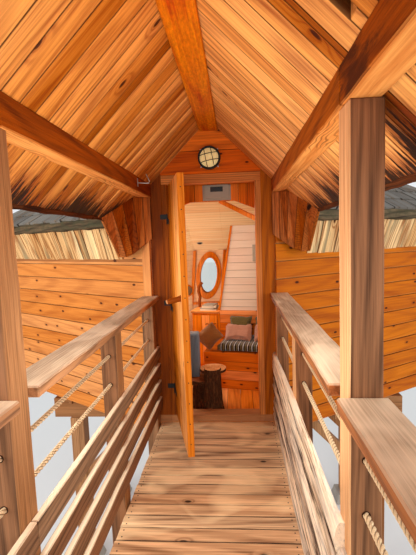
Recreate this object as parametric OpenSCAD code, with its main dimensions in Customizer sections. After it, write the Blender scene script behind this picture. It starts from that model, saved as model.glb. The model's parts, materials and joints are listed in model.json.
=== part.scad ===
/* [Walkway] */
// Height of the deck above the ground
deck_h = 2200; // [1200:50:3500]
// Number of whole bays of the walkway
bays = 4; // [2:2:6]
// Distance between the rail posts, centre to centre
bay = 1035; // [900:5:1300]
// Distance from the middle of the walkway to the inner face of a post
post_in = 495; // [470:5:650]
// Width of a post across the walkway
post_w = 92; // [70:1:120]
// Depth of a post along the walkway
post_d = 107; // [80:1:140]
// Thickness of the deck boards
deck_t = 38; // [25:1:60]
// Depth of the walkway beams
beam_h = 200; // [140:5:300]
// Thickness of the walkway beams
beam_w = 60; // [40:1:90]

/* [Rails] */
// Height of the top of the handrail above the deck
rail_h = 1095; // [900:5:1200]
// Width of the handrail board
cap_w = 144; // [100:1:180]
// Thickness of the handrail board
cap_t = 40; // [25:1:60]
// How far the handrail board overhangs the inner face of the posts
cap_over = 36; // [10:1:60]
// Thickness of the ropes
rope_d = 20; // [12:1:30]
// Height of the upper rope
rope_top_z = 910; // [820:5:950]
// Height of the lower rope
rope_low_z = 745; // [720:5:790]
// Height of a rail board on the left side
board_h = 93; // [60:1:120]
// Gap between the rail boards on the left side
board_gap = 53; // [20:1:70]
// Thickness of the rail boards and slabs
board_t = 26; // [18:1:40]
// Height of the top of the highest rail board
board_top = 668; // [610:2:690]

// Height of the lower edge of the rough slabs on the right side
slab_low = 22; // [5:1:60]
// Width of a rough slab at its narrow end
slab_w = 196; // [150:2:205]
// How much wider a rough slab is at its other end
slab_grow = 26; // [0:1:30]

/* [Walkway roof] */
// How far the roof's peak, inside, stands above the head of the doorway
apex_over = 490; // [460:5:700]
// How far the underside of the roof beams hangs below the peak
plate_drop = 590; // [575:5:620]
// Width of a roof beam
plate_w = 96; // [70:1:120]
// How far the inner face of a roof beam stands inside the posts
plate_in = 11; // [0:1:20]
// Distance from the middle to the eave of the walkway roof
eave_x = 765; // [740:5:820]
// Thickness of the walkway roof
roof_t = 46; // [30:1:80]
// How far the roof runs out past the last post
roof_over = 260; // [100:10:500]
// Width of the ridge beam
ridge_w = 144; // [100:2:200]
// How far the ridge beam hangs below the peak of the roof
ridge_drop = 90; // [82:1:160]

/* [Cabin] */
// Width of the entry front between the two front walls
front_w = 1010; // [1000:10:1200]
// Length of each slanting wall
slant_len = 2390; // [1800:10:3000]
// Angle of the slanting walls from the entry front
slant_ang = 33; // [25:1:40]
// Length of the short side walls
side_len = 600; // [400:10:1200]
// Thickness of the walls
wall_t = 120; // [90:1:160]
// Height at which the siding ends and the flared band starts
siding_top = 1400; // [1250:10:1450]
// Height of the lower edge of the cabin roof
roof_low = 1690; // [1600:10:1900]
// How far the cabin roof stands out past the walls
roof_out = 150; // [100:5:250]
// Vertical thickness of the cabin roof
cabin_roof_t = 70; // [40:5:120]
// How far the ridge of the cabin stands above the ridge of the walkway roof
top_over = 165; // [140:5:400]
// Thickness of the flared band of boards
band_t = 24; // [15:1:40]
// How far the flared band leans out for each millimetre of height
band_lean = 0.33; // [0.1:0.01:0.4]
// Height of the ceiling where it meets the walls
ceil_low = 1370; // [1355:5:1450]
// How far the ceiling's ridge stands above the eaves of the passage inside the door
ceil_over = 38; // [30:1:120]
// Thickness of the ceiling boards
ceil_t = 20; // [12:1:30]
// Thickness of the cabin floor
floor_t = 40; // [25:1:60]

/* [Door] */
// Width of the doorway
door_open_w = 710; // [650:5:760]
// Height of the doorway
door_open_h = 2000; // [1850:5:2050]
// Width of the door frame posts
jamb_w = 45; // [30:1:60]
// Thickness of the door leaf
leaf_t = 45; // [35:1:60]
// Gap between the door leaf and its frame
leaf_gap = 5.5; // [5:0.5:10]
// Height of the lower edge of the door leaf
leaf_low = 80; // [70:1:100]
// Gap between the top of the leaf and the head of the frame
leaf_head_gap = 25; // [10:1:40]
// Angle at which the door stands open
door_ang = 75; // [0:1:90]

/* [Lamp] */
// Diameter of the lamp
lamp_d = 180; // [140:2:200]
// How far the middle of the lamp stands above the head of the doorway
lamp_over = 190; // [175:5:260]

/* [Oval windows] */
// Width of the frame of an oval window
oval_w = 400; // [300:5:440]
// Height of the frame of an oval window
oval_h = 770; // [600:5:800]
// Height of the middle of an oval window
oval_z = 965; // [900:5:970]
// Width of the frame beside the glass
oval_rim = 66; // [40:1:90]
// Width of the frame above and below the glass
oval_end = 100; // [50:1:130]
// Angle by which the oval windows lean
oval_tilt = 7.5; // [0:0.5:10]

/* [Supports] */
// Width of a stilt
stilt_w = 150; // [100:5:200]
// How far the outer stilts stand in from the side walls
stilt_set = 860; // [700:10:1000]
// How far the stilts stand in from the front and the back
stilt_in = 1000; // [900:10:1150]
// Distance between the joists, centre to centre
joist_gap = 550; // [400:10:600]
// Height of a footing block
foot_h = 120; // [60:5:200]
// Width of a footing block
foot_w = 320; // [240:10:450]
// Depth of the main bearers under the cabin
bearer_h = 220; // [150:5:300]
// Thickness of the main bearers
bearer_w = 100; // [60:5:140]
// Depth of the cabin joists
joist_h = 140; // [100:5:200]
// Thickness of the cabin joists
joist_w = 50; // [35:1:80]

/* [Furniture] */
// Angle at which the seat corner is turned
nook_ang = -12; // [-20:1:0]
// Height of the bench seat
bench_h = 380; // [300:5:450]
// Depth of the bench
bench_d = 538; // [480:2:600]
// Height of the bench's back board
back_top = 720; // [650:5:800]
// Thickness of the seat cushion
cushion_t = 90; // [60:5:110]
// Height of the plank partition
partition_h = 1690; // [1500:10:1720]
// Thickness of the plank partition
partition_t = 40; // [30:1:60]
// Width of the low cabinet
cabinet_w = 345; // [250:5:400]
// Depth of the low cabinet
cabinet_d = 560; // [400:10:600]
// Height of the low cabinet
cabinet_h = 700; // [500:5:720]

/* [Hidden] */
$fn = 48;

// Plan of the cabin: half sizes and depths, with the entry front on y = 0
half_front = front_w / 2;
slant_x = slant_len * cos(slant_ang);
slant_y = slant_len * sin(slant_ang);
half_cabin = half_front + slant_x;
cabin_d = 2 * slant_y + side_len;
ridge_y = cabin_d / 2;

// Length of the walkway, and the whole object's place on the ground
walk_len = bays * bay;
front_end = walk_len + post_d / 2 + roof_over;
back_end = cabin_d + roof_out;
shift_y = (front_end - back_end) / 2;

// Corner points of the cabin, counter-clockwise from the right of the door, for an outline
// that stands out by d from the outer face of the walls
function turn_point(hx, hy, a1, a2, d) =
  [hx + d * (sin(a2) - sin(a1)) / sin(a2 - a1), hy - d * (cos(a1) - cos(a2)) / sin(a2 - a1)];
function tan_half(a) = tan(a / 2);
function right_side(d) = [
  [half_front + d * tan_half(slant_ang), -d],
  [half_cabin + d, slant_y - d * tan_half(90 - slant_ang)],
  [half_cabin + d, slant_y + side_len + d * tan_half(90 - slant_ang)],
  [half_front + d * tan_half(slant_ang), cabin_d + d]];
function left_side(d) = [for (i = [3:-1:0]) [-right_side(d)[i][0], right_side(d)[i][1]]];
function plan(d) = concat(right_side(d), left_side(d));

// Heights that follow the head of the doorway
apex_z = door_open_h + apex_over;
plate_z = apex_z - plate_drop;
lamp_z = door_open_h + lamp_over;

post_out = post_in + post_w;
post_x = post_in + post_w / 2;
cap_in = post_in - cap_over;
cap_under = rail_h - cap_t;
plate_x = post_in - plate_in;
roof_v = roof_t * sqrt(2);
cabin_top = apex_z + roof_v + top_over;
tall_ks = [for (k = [2:2:bays]) k];
rail_ks = [for (k = [1:2:bays - 1]) k];
// Hairline joint between timbers that meet, so that each stays a piece of its own
seam = 0.3;
function post_y(k) = k == 0 ? -post_d / 2 : -k * bay;

// Moves a piece from the door's own frame to the ground frame
module place() {
  translate([0, shift_y, deck_h]) children();
}

module both_sides() {
  children();
  mirror([1, 0, 0]) children();
}

module box(x0, x1, y0, y1, z0, z1) {
  translate([x0, y0, z0]) cube([x1 - x0, y1 - y0, z1 - z0]);
}

// A flat outline in the x and z plane, from y0 to y1
module slab_y(points, y0, y1) {
  translate([0, y1, 0]) rotate([90, 0, 0]) linear_extrude(y1 - y0) polygon(points);
}

// A flat outline in the y and z plane, from x0 to x1
module slab_x(points, x0, x1) {
  translate([x0, 0, 0]) rotate([90, 0, 90]) linear_extrude(x1 - x0) polygon(points);
}

stilt_side = half_cabin - stilt_set;
stilt_xs = [-stilt_side, 0, stilt_side];
stilt_ys = [stilt_in, cabin_d - stilt_in];
entry_ks = concat([0], tall_ks);
bearer_top = -floor_t - joist_h;
bearer_low = bearer_top - bearer_h;
ground = -deck_h;

module footings() {
  color("gray") place() {
    for (x = stilt_xs, y = stilt_ys)
      translate([x, y, ground]) linear_extrude(foot_h, scale = 0.8) square(foot_w, center = true);
    for (k = entry_ks, s = [-1, 1])
      translate([s * post_x, post_y(k), ground])
        linear_extrude(foot_h, scale = 0.8) square(foot_w, center = true);
  }
}

module cabin_stilts() {
  color("peru") place()
    for (x = stilt_xs, y = stilt_ys)
      box(x - stilt_w / 2, x + stilt_w / 2, y - stilt_w / 2, y + stilt_w / 2,
        ground + foot_h, bearer_low);
}

brace_run = 620;
brace_w = 90;
module brace(x, y, s) {
  e = stilt_w / 2;
  f = brace_w * sqrt(2);
  translate([x, y, 0]) slab_y([
    [s * e, bearer_low - brace_run], [s * e, bearer_low - brace_run - f],
    [s * (e + brace_run + f), bearer_low], [s * (e + brace_run), bearer_low]],
    -brace_w / 2, brace_w / 2);
}

module stilt_braces() {
  color("peru") place()
    for (y = stilt_ys) {
      brace(stilt_xs[0], y, 1);
      brace(stilt_xs[1], y, -1);
      brace(stilt_xs[1], y, 1);
      brace(stilt_xs[2], y, -1);
    }
}

joist_set = 40;
joist_n = floor((half_cabin - 2 * joist_set - joist_w / 2) / joist_gap);
joist_xs = [for (i = [-joist_n:joist_n]) i * joist_gap];
bearer_set = 60;
bearer_x = half_front + (stilt_in - bearer_w / 2) / tan(slant_ang) - bearer_set;
module cabin_beams() {
  color("peru") place() {
    for (y = stilt_ys)
      box(-bearer_x, bearer_x, y - bearer_w / 2, y + bearer_w / 2, bearer_low, bearer_top);
    for (x = joist_xs)
      intersection() {
        box(x - joist_w / 2, x + joist_w / 2, 0, cabin_d, bearer_top + seam, -floor_t);
        translate([0, 0, bearer_top]) linear_extrude(joist_h) polygon(plan(-joist_set));
      }
  }
}

module cabin_floor() {
  color("burlywood") place()
    translate([0, 0, -floor_t]) linear_extrude(floor_t) polygon(plan(0));
}

module walkway_beams() {
  color("peru") place() {
    both_sides()
      box(post_in - beam_w, post_in, -walk_len - post_d / 2, 0, -deck_t - beam_h, -deck_t);
    for (k = [0:bays])
      box(-post_in + beam_w + seam, post_in - beam_w - seam, -k * bay - beam_w,
        -k * bay, -deck_t - beam_h, -deck_t);
  }
}

deck_set = 8;
deck_half = post_in - deck_set;
module walkway_deck() {
  color("tan") place()
    box(-deck_half, deck_half, -walk_len - post_d / 2, 0, -deck_t, 0);
}

bore_play = 0.3;
bore_over = 10;
module rope_bores(y) {
  for (z = [rope_top_z, rope_low_z])
    translate([0, y, z]) rotate([90, 0, 0])
      cylinder(r = rope_d / 2 + bore_play, h = post_d + 2 * bore_over, center = true);
}

module post(k, z0, z1) {
  y = post_y(k);
  difference() {
    box(post_in, post_out, y - post_d / 2, y + post_d / 2, z0, z1);
    translate([post_x, 0, 0]) rope_bores(y);
  }
}

module tall_posts() {
  color("sienna") place() both_sides()
    for (k = tall_ks) post(k, ground + foot_h, plate_z);
}

module rail_posts() {
  color("sienna") place() both_sides() {
    post(0, ground + foot_h, cap_under);
    for (k = rail_ks) post(k, -deck_t - beam_h, cap_under);
  }
}

// One handrail board between two tall posts, or between a tall post and the cabin
module handrails() {
  color("burlywood") place() both_sides()
    for (k = tall_ks)
      box(cap_in, cap_in + cap_w, -k * bay + post_d / 2,
        k == 2 ? 0 : -(k - 2) * bay - post_d / 2, cap_under, rail_h);
}

function rail_end(k) = -k * bay - (k == bays ? post_d / 2 : 0);
module rail_boards_left() {
  color("burlywood") place()
    for (k = tall_ks, i = [0:3])
      box(-post_in, -post_in + board_t, rail_end(k), -(k - 2) * bay - seam,
        board_top - board_h - i * (board_h + board_gap), board_top - i * (board_h + board_gap));
}

// Rough slabs with their natural edges, each wider towards its far end; u runs from 0 to 1
slab_n = 3;
slab_gap = 7;
slab_steps = 14;
function slab_line(i, u) = slab_low + i * (slab_w + slab_grow * u)
  + (i == 0 ? 0 : 8 * sin(500 * u + 70 * i) + 4 * sin(1300 * u + 40 * i));
module rough_slab(k, i) {
  y0 = -(k - 2) * bay - seam;
  run = rail_end(k) - y0;
  us = [for (j = [0:slab_steps]) j / slab_steps];
  slab_x(concat([for (u = us) [y0 + run * u, slab_line(i, u)]],
    [for (j = [slab_steps:-1:0]) [y0 + run * us[j], slab_line(i + 1, us[j]) - slab_gap]]),
    post_in - board_t, post_in);
}

module rail_slabs_right() {
  color("rosybrown") place()
    for (k = tall_ks, i = [0:slab_n - 1]) rough_slab(k, i);
}

knot_l = 45;
knot_gap = 30;
module rail_ropes() {
  color("wheat") place() both_sides()
    for (z = [rope_top_z, rope_low_z])
      translate([post_x, 0, z]) rotate([90, 0, 0]) {
        cylinder(d = rope_d, h = walk_len + post_d / 2 + knot_gap);
        translate([0, 0, walk_len + post_d / 2]) cylinder(d = rope_d * 2.2, h = knot_l);
      }
}

module roof_plates() {
  color("sienna") place() both_sides()
    slab_y([[plate_x, plate_z], [plate_x + plate_w, plate_z],
      [plate_x + plate_w, apex_z - plate_x - plate_w], [plate_x, apex_z - plate_x]],
      -front_end, 0);
}

module ridge_beam() {
  w = ridge_w / 2;
  color("sienna") place()
    slab_y([[-w, apex_z - ridge_drop], [w, apex_z - ridge_drop], [w, apex_z - w],
      [0, apex_z], [-w, apex_z - w]], -front_end, 0);
}

// The space under a hipped roof: over the outline d, from z = low up to a ridge from -rx to rx
tip = 0.01;
module under_hips(d, low, top, rx) {
  hull() {
    linear_extrude(low) polygon(plan(d));
    for (s = [-1, 1])
      translate([s * rx, ridge_y, top - tip]) cylinder(r = tip, h = tip, $fn = 4);
  }
}

// The space under the cabin roof, with the roof's own underside as its top
module under_roof(drop) {
  under_hips(roof_out, roof_low - drop, cabin_top - cabin_roof_t - drop, half_front);
}

module under_ceiling() {
  under_hips(-wall_t - seam, ceil_low - seam, ceil_top - seam, mitre_x);
}

// Where the ridge of the walkway roof runs into the cabin roof
cabin_slope = (cabin_top - cabin_roof_t - roof_low) / (ridge_y + roof_out);
valley_y = (apex_z + roof_v - roof_low) / cabin_slope - roof_out;
valley_over = 60;
module walkway_roof() {
  difference() {
    slab_y([[0, apex_z], [eave_x, apex_z - eave_x], [eave_x, apex_z - eave_x + roof_v],
      [0, apex_z + roof_v]], -front_end, valley_y + valley_over);
    intersection() {
      under_roof(0);
      box(-half_cabin, half_cabin, -roof_out - 1, cabin_d, 0, cabin_top);
    }
  }
}

module walkway_roof_right() {
  color("chocolate") place() walkway_roof();
}

module walkway_roof_left() {
  color("chocolate") place() mirror([1, 0, 0]) walkway_roof();
}

jamb_x = door_open_w / 2;
corner_x = jamb_x + jamb_w;
mitre_x = half_front - wall_t * tan_half(slant_ang);
module corner_posts() {
  color("orange") place() both_sides()
    intersection() {
      linear_extrude(apex_z) polygon([[corner_x, 0], [half_front, 0], [mitre_x, wall_t],
        [corner_x, wall_t]]);
      slab_y([[0, 0], [apex_z, 0], [0, apex_z]], -1, wall_t + 1);
    }
}

header_h = 70;
sill_h = 60;
module door_frame() {
  color("orange") place() {
    both_sides()
      box(jamb_x, corner_x, 0, wall_t, 0, door_open_h - seam);
    box(-corner_x, corner_x, 0, wall_t, door_open_h, door_open_h + header_h);
    box(-jamb_x + seam, jamb_x - seam, 0, wall_t, 0, sill_h);
  }
}

gable_t = 40;
module gable_wall() {
  z0 = door_open_h + header_h;
  color("orange") place()
    slab_y([[-corner_x, z0], [corner_x, z0], [corner_x, apex_z - corner_x], [0, apex_z],
      [-corner_x, apex_z - corner_x]], 0, gable_t);
}

// The door leaf in its own frame: the hinge pin on the z axis, the leaf shut along +x
pin_in = 3;
pin_front = 10;
leaf_x0 = leaf_gap + pin_in;
leaf_x1 = leaf_x0 + door_open_w - 2 * leaf_gap;
leaf_y0 = 5;
leaf_top = door_open_h - leaf_head_gap;
module on_hinge() {
  place() translate([-jamb_x - pin_in, -pin_front, 0]) rotate([0, 0, -door_ang]) children();
}

// Outer boards of the leaf, with a frame of stiles and rails behind them
leaf_boards = 5;
leaf_board_t = 27;
stile_w = 95;
leaf_rails = [leaf_low, (leaf_low + leaf_top - stile_w) / 2, leaf_top - stile_w];
module door_leaf() {
  w = (leaf_x1 - leaf_x0) / leaf_boards;
  back = leaf_y0 + leaf_board_t + seam;
  color("darkorange") on_hinge() {
    for (i = [0:leaf_boards - 1])
      box(leaf_x0 + i * w, leaf_x0 + (i + 1) * w - (i < leaf_boards - 1 ? seam : 0),
        leaf_y0, leaf_y0 + leaf_board_t, leaf_low, leaf_top);
    for (x = [leaf_x0, leaf_x1 - stile_w])
      box(x, x + stile_w, back, leaf_y0 + leaf_t, leaf_low, leaf_top);
    for (z = leaf_rails)
      box(leaf_x0 + stile_w + seam, leaf_x1 - stile_w - seam, back, leaf_y0 + leaf_t,
        z, z + stile_w);
  }
}

// A peg cut from a branch, a little thicker at its root, that droops away from the leaf
handle_x = leaf_x1 - 48;
handle_z = 1160;
handle_l = 98;
handle_r = 19;
handle_droop = 11;
module door_handle() {
  color("saddlebrown") on_hinge() difference() {
    translate([handle_x, leaf_y0 + handle_r, handle_z + handle_r * tan(handle_droop)])
      rotate([90 + handle_droop, 0, 0]) {
        cylinder(r = handle_r, h = handle_l + handle_r, $fn = 32);
        translate([0, 0, handle_r]) cylinder(r1 = handle_r * 1.25, r2 = handle_r, h = 30, $fn = 32);
      }
    box(handle_x - 60, handle_x + 60, leaf_y0 - seam, leaf_y0 + 80, handle_z - 80, handle_z + 80);
  }
}

hinge_zs = [300, 1010, 1720];
knuckle_r = 7;
knuckle_h = 40;
hinge_pin_r = 4;
plate_t = 3;
module door_hinges() {
  color("black") on_hinge()
    for (z = hinge_zs) {
      translate([0, 0, z - knuckle_h]) cylinder(r = knuckle_r, h = knuckle_h);
      translate([0, 0, z - knuckle_h]) cylinder(r = hinge_pin_r, h = 2 * knuckle_h + 6);
      box(0, 90, leaf_y0 - plate_t, leaf_y0, z - knuckle_h, z - 1);
    }
}

module frame_hinges() {
  color("black") place() translate([-jamb_x - pin_in, -pin_front, 0])
    for (z = hinge_zs)
      difference() {
        union() {
          translate([0, 0, z + 0.3]) cylinder(r = knuckle_r, h = knuckle_h);
          box(-60, 0, pin_front - plate_t, pin_front, z + 0.3, z + 0.3 + knuckle_h);
          box(-knuckle_r, 0, 0, pin_front, z + 0.3, z + 0.3 + knuckle_h);
        }
        translate([0, 0, z - 1]) cylinder(r = hinge_pin_r + 0.05, h = knuckle_h + 10);
      }
}

module lamp_frame() {
  place() translate([0, 0, lamp_z]) rotate([90, 0, 0]) children();
}

lamp_base_t = 26;
glass_r = lamp_d / 2 - 16;
module lamp_body() {
  color("black") lamp_frame() cylinder(d = lamp_d, h = lamp_base_t);
}

module lamp_glass() {
  color("moccasin") lamp_frame() translate([0, 0, lamp_base_t])
    rotate_extrude() intersection() {
      translate([0, -60]) circle(r = sqrt(glass_r * glass_r + 60 * 60));
      square([glass_r, 100]);
    }
}

// Two pairs of crossed straps, bent over the glass, that spring from a ring
cage_ring = 5;
cage_gap = 6;
cage_t = 4;
cage_w = 5;
cage_off = 27;
cage_tilt = 10;
dome_drop = 60;
function dome_r(d) = sqrt(glass_r * glass_r + dome_drop * dome_drop) + d;
module lamp_cage() {
  color("black") lamp_frame() translate([0, 0, lamp_base_t + seam]) {
    rotate_extrude() translate([lamp_d / 2 - cage_ring, cage_ring]) circle(r = cage_ring, $fn = 16);
    rotate([0, 0, cage_tilt]) intersection() {
      translate([0, 0, -dome_drop]) difference() {
        sphere(r = dome_r(cage_gap + cage_t));
        sphere(r = dome_r(cage_gap));
      }
      union() {
        for (s = [-1, 1], a = [0, 90])
          rotate([0, 0, a]) translate([s * cage_off, 0, lamp_d / 4 + cage_ring])
            cube([cage_w, lamp_d - 4 * cage_ring, lamp_d / 2], center = true);
      }
    }
  }
}

// The boards that close the end of the flared band beside the door: they hang from the
// walkway roof, and the outer ones reach forward under its eave
cheek_t = 26;
cheek_n = 5;
cheek_reach = 400;
cheek_in = post_in - 8;
cheek_out = eave_x - 2;
cheek_still = post_in + 25;
cheek_knee = half_front + 180;
cheek_rise = 168;
cheek_low_z = siding_top + 25;
function cheek_x(i) = cheek_in + (cheek_out - cheek_in) * i / cheek_n;
function cheek_foot(x) = cheek_low_z
  + (x < cheek_knee ? (cheek_rise - 25) * (cheek_knee - x) / (cheek_knee - cheek_in) : 0);
function cheek_head(x) = min(plate_z, apex_z - x) - 2 * seam;
function cheek_fore(x) = x < cheek_still ? 0
  : -cheek_reach * (x - cheek_still) / (cheek_out - cheek_still);
function cheek_section(x, y, z) = [[x, y - cheek_t, z], [x, y - seam, z]];
module cheek_board(a, b) {
  f = cheek_fore(a);
  g = cheek_fore(b);
  polyhedron(concat(cheek_section(a, 0, cheek_foot(a)), cheek_section(b, 0, cheek_foot(b)),
    cheek_section(a, f, cheek_head(a)), cheek_section(b, g, cheek_head(b))),
    [[0, 2, 1], [1, 2, 3], [4, 5, 6], [5, 7, 6], [0, 4, 2], [2, 4, 6],
     [1, 3, 5], [3, 7, 5], [0, 1, 4], [1, 5, 4], [2, 6, 3], [3, 6, 7]]);
}

// The narrow side board between the outermost of them and the slanting wall
side_board_t = 20;
side_board_x = eave_x + 1;
module cheek_side() {
  difference() {
    slab_x([[-seam, cheek_low_z], [-cheek_reach, apex_z - eave_x + 10], [-20, apex_z - eave_x + 10],
      [-5, roof_low - 2], [wall_t * 2, roof_low - 2], [wall_t * 2, cheek_low_z]],
      side_board_x, side_board_x + side_board_t);
    linear_extrude(cabin_top) polygon(plan(seam));
  }
}

module eave_cheeks() {
  color("saddlebrown") place() both_sides() {
    for (i = [0:cheek_n - 1]) cheek_board(cheek_x(i) + (i == 0 ? 0 : seam), cheek_x(i + 1));
    cheek_side();
  }
}

// One straight wall between corners i and i + 1 of the plan, up to the roof
module wall_piece(i) {
  o = plan(0);
  n = plan(-wall_t);
  j = (i + 1) % 8;
  intersection() {
    linear_extrude(cabin_top) polygon([o[i], o[j], n[j], n[i]]);
    under_roof(seam);
  }
}

module front_walls() {
  color("orange") place() for (i = [0, 6]) wall_piece(i);
}

module side_walls() {
  color("orange") place() for (i = [1, 5]) wall_piece(i);
}

module back_walls() {
  color("orange") place() for (i = [2, 4]) wall_piece(i);
}

// Oval windows, leaning together, with glass between an inner and an outer frame
oval_x = half_front / 2 + 5;
oval_cover = 20;
module oval(w, h, t) {
  rotate([0, oval_tilt, 0]) rotate([90, 0, 0]) linear_extrude(t)
    scale([w / h, 1]) circle(d = h, $fn = 48);
}

module at_windows(y) {
  for (s = [-1, 1]) translate([s * oval_x, y, oval_z]) children();
}

module window_wall() {
  color("orange") place() difference() {
    wall_piece(3);
    at_windows(cabin_d + 30) oval(oval_w - 2 * oval_cover, oval_h - 2 * oval_cover, wall_t + 60);
  }
}

rim_t = 22;
sash_t = 12;
sash_w = 26;
module window_frames() {
  color("peru") place() {
    at_windows(cabin_d + rim_t + seam) difference() {
      oval(oval_w, oval_h, rim_t);
      translate([0, 5, 0]) oval(oval_w - 2 * oval_rim, oval_h - 2 * oval_end, rim_t + 10);
    }
    at_windows(cabin_d - wall_t - seam) difference() {
      union() {
        oval(oval_w, oval_h, rim_t);
        oval(oval_w - 2 * oval_rim + 2 * sash_w, oval_h - 2 * oval_end + 2 * sash_w, rim_t + sash_t);
      }
      translate([0, 5, 0]) oval(oval_w - 2 * oval_rim, oval_h - 2 * oval_end, rim_t + sash_t + 10);
    }
  }
}

glass_t = 6;
module window_glass() {
  color("lightblue") place() at_windows(cabin_d - wall_t / 2)
    oval(oval_w - 2 * oval_cover - 2 * seam, oval_h - 2 * oval_cover - 2 * seam, glass_t);
}

// The point that lies s along the edge from corner i to corner j of an outline
function along(p, i, j, s) = p[i] + (p[j] - p[i]) / norm(p[j] - p[i]) * s;
function edge_of(d, i) = let (p = plan(d), j = (i + 1) % 8) [along(p, i, j, seam), along(p, j, i, seam)];

// One leaning board face of the flared band, between corners i and i + 1
module band_piece(i) {
  lean = band_lean * (roof_low - siding_top);
  hull() {
    translate([0, 0, siding_top]) linear_extrude(0.01)
      polygon(concat(edge_of(0, i), [edge_of(band_t, i)[1], edge_of(band_t, i)[0]]));
    translate([0, 0, roof_low - 0.01]) linear_extrude(0.01)
      polygon(concat(edge_of(lean, i),
        [edge_of(lean + band_t, i)[1], edge_of(lean + band_t, i)[0]]));
  }
}

band_start = side_board_x + side_board_t + seam;
module eave_band() {
  color("rosybrown") place() difference() {
    for (i = [0:6]) band_piece(i);
    box(-band_start, band_start, -cheek_reach, slant_y / 2, 0, cabin_top);
  }
}

// Sloping slabs of a hipped roof: from an outline at z = low up to a ridge at z = top, with the
// ridge from -rx to rx, t thick measured upright
function lift(p, z) = [p[0], p[1], z];
module slope_slab(points, t) {
  n = len(points);
  rim = [for (i = [0:n - 1]) [i, (i + 1) % n, (i + 1) % n + n, i + n]];
  polyhedron(concat([for (q = points) q], [for (q = points) q + [0, 0, t]]),
    concat([[for (i = [0:n - 1]) i]], rim, [[for (i = [n - 1:-1:0]) i + n]]));
}

function toward(p, q, s) = p + (q - p) / norm(q - p) * s;
module hip_slabs(d, low, top, rx, t) {
  for (i = [0, 1, 2, 4, 5, 6]) {
    e = edge_of(d, i);
    r = [(i < 3 ? 1 : -1) * rx, ridge_y];
    peak = toward(r, (e[0] + e[1]) / 2, seam);
    slope_slab([lift(e[1], low), lift(e[0], low), lift(peak, top)], t);
  }
  for (s = [-1, 1], f = [-1, 1]) {
    e = plan(d)[f < 0 ? 0 : 3];
    a = [s * seam, ridge_y + f * seam, top];
    b = [s * (rx - seam), ridge_y + f * seam, top];
    c = [s * (e[0] - seam), e[1], low];
    g = [s * seam, e[1], low];
    slope_slab(s * f > 0 ? [a, b, c, g] : [g, c, b, a], t);
  }
}

module cabin_roof() {
  e = eave_x + seam;
  color("dimgray") place() difference() {
    hip_slabs(roof_out, roof_low, cabin_top - cabin_roof_t, half_front, cabin_roof_t);
    slab_y([[-e, 0], [e, 0], [e, apex_z + roof_v - e + seam], [0, apex_z + roof_v + seam],
      [-e, apex_z + roof_v - e + seam]], -front_end, ridge_y);
    box(-half_cabin, half_cabin, -front_end, 0, 0, cabin_top);
  }
}

// The passage inside the door: side walls, a sloping lining and an end wall
dormer_t = 25;
dormer_x = mitre_x - dormer_t;
lining_v = 28;
dormer_z = apex_z - lining_v - mitre_x;
ceil_top = dormer_z + ceil_over;
ceil_slope = (ceil_top - ceil_low) / (ridge_y - wall_t);
dormer_y = wall_t + (dormer_z - ceil_low) / ceil_slope;
function lining_z(x) = apex_z - lining_v - x - seam;
module ceiling() {
  color("mistyrose") place() difference() {
    hip_slabs(-wall_t - seam, ceil_low, ceil_top, mitre_x, ceil_t);
    box(-mitre_x, mitre_x, 0, dormer_y, 0, cabin_top);
  }
}

module dormer_walls() {
  top = dormer_z + dormer_t;
  color("mistyrose") place() {
    both_sides() {
      intersection() {
        slab_x([[wall_t + seam, ceil_low], [dormer_y - seam, dormer_z], [dormer_y - seam, top],
          [wall_t + seam, top]], dormer_x, mitre_x - seam);
        slab_y([[0, 0], [lining_z(0), 0], [0, lining_z(0)]], 0, ridge_y);
      }
      slab_y([[seam, apex_z - 2 * seam], [seam, apex_z - lining_v], [mitre_x, dormer_z],
        [mitre_x, dormer_z + lining_v - 2 * seam]], wall_t + seam, dormer_y);
    }
    slab_y([[-dormer_x + seam, dormer_z], [dormer_x - seam, dormer_z],
      [dormer_x - seam, lining_z(dormer_x)], [0, lining_z(0)], [-dormer_x + seam, lining_z(dormer_x)]],
      dormer_y - dormer_t, dormer_y - seam);
  }
}

// A board across the passage, cut as a flat arch over the way in
bulk_y = wall_t + 80;
bulk_t = 35;
bulk_low = door_open_h - 132;
bulk_half = 190;
bulk_lean = 0.41;
module entry_bulkhead() {
  w = dormer_x - seam;
  z = bulk_low - bulk_lean * (w - bulk_half);
  color("saddlebrown") place()
    slab_y([[-w, z], [-bulk_half, bulk_low], [bulk_half, bulk_low], [w, z], [w, lining_z(w)],
      [0, lining_z(0)], [-w, lining_z(w)]], bulk_y, bulk_y + bulk_t);
}

// A vent housing on that board: a flange, a raised body and a slot
vent_w = 240;
vent_h = 130;
vent_x = -78;
vent_t = 30;
flange_t = 10;
vent_rim = 18;
module vent_box() {
  x1 = vent_x + vent_w;
  back = bulk_y - seam;
  z1 = bulk_low + 5 + vent_h;
  color("gainsboro") place() difference() {
    union() {
      box(vent_x, x1, back - flange_t, back, bulk_low + 5, z1);
      box(vent_x + vent_rim, x1 - vent_rim, back - vent_t, back, bulk_low + 5 + vent_rim, z1);
    }
    box(vent_x + vent_w * 0.28, x1 - vent_w * 0.28, back - vent_t - 1, back - flange_t,
      z1 - vent_h * 0.45, z1 - vent_h * 0.12);
  }
}

// The seat corner: its origin is the foot of the partition's free edge
nook_x = -10;
nook_y = 1330;
room_w = 2 * half_cabin;
module in_nook() {
  place() translate([nook_x, nook_y, 0]) rotate([0, 0, nook_ang]) children();
}

// The room's inner outline, kept clear of the walls
module room_space(clear) {
  linear_extrude(cabin_top) polygon(plan(-wall_t - clear));
}

module inside_room(clear) {
  place() room_space(clear);
}

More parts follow.
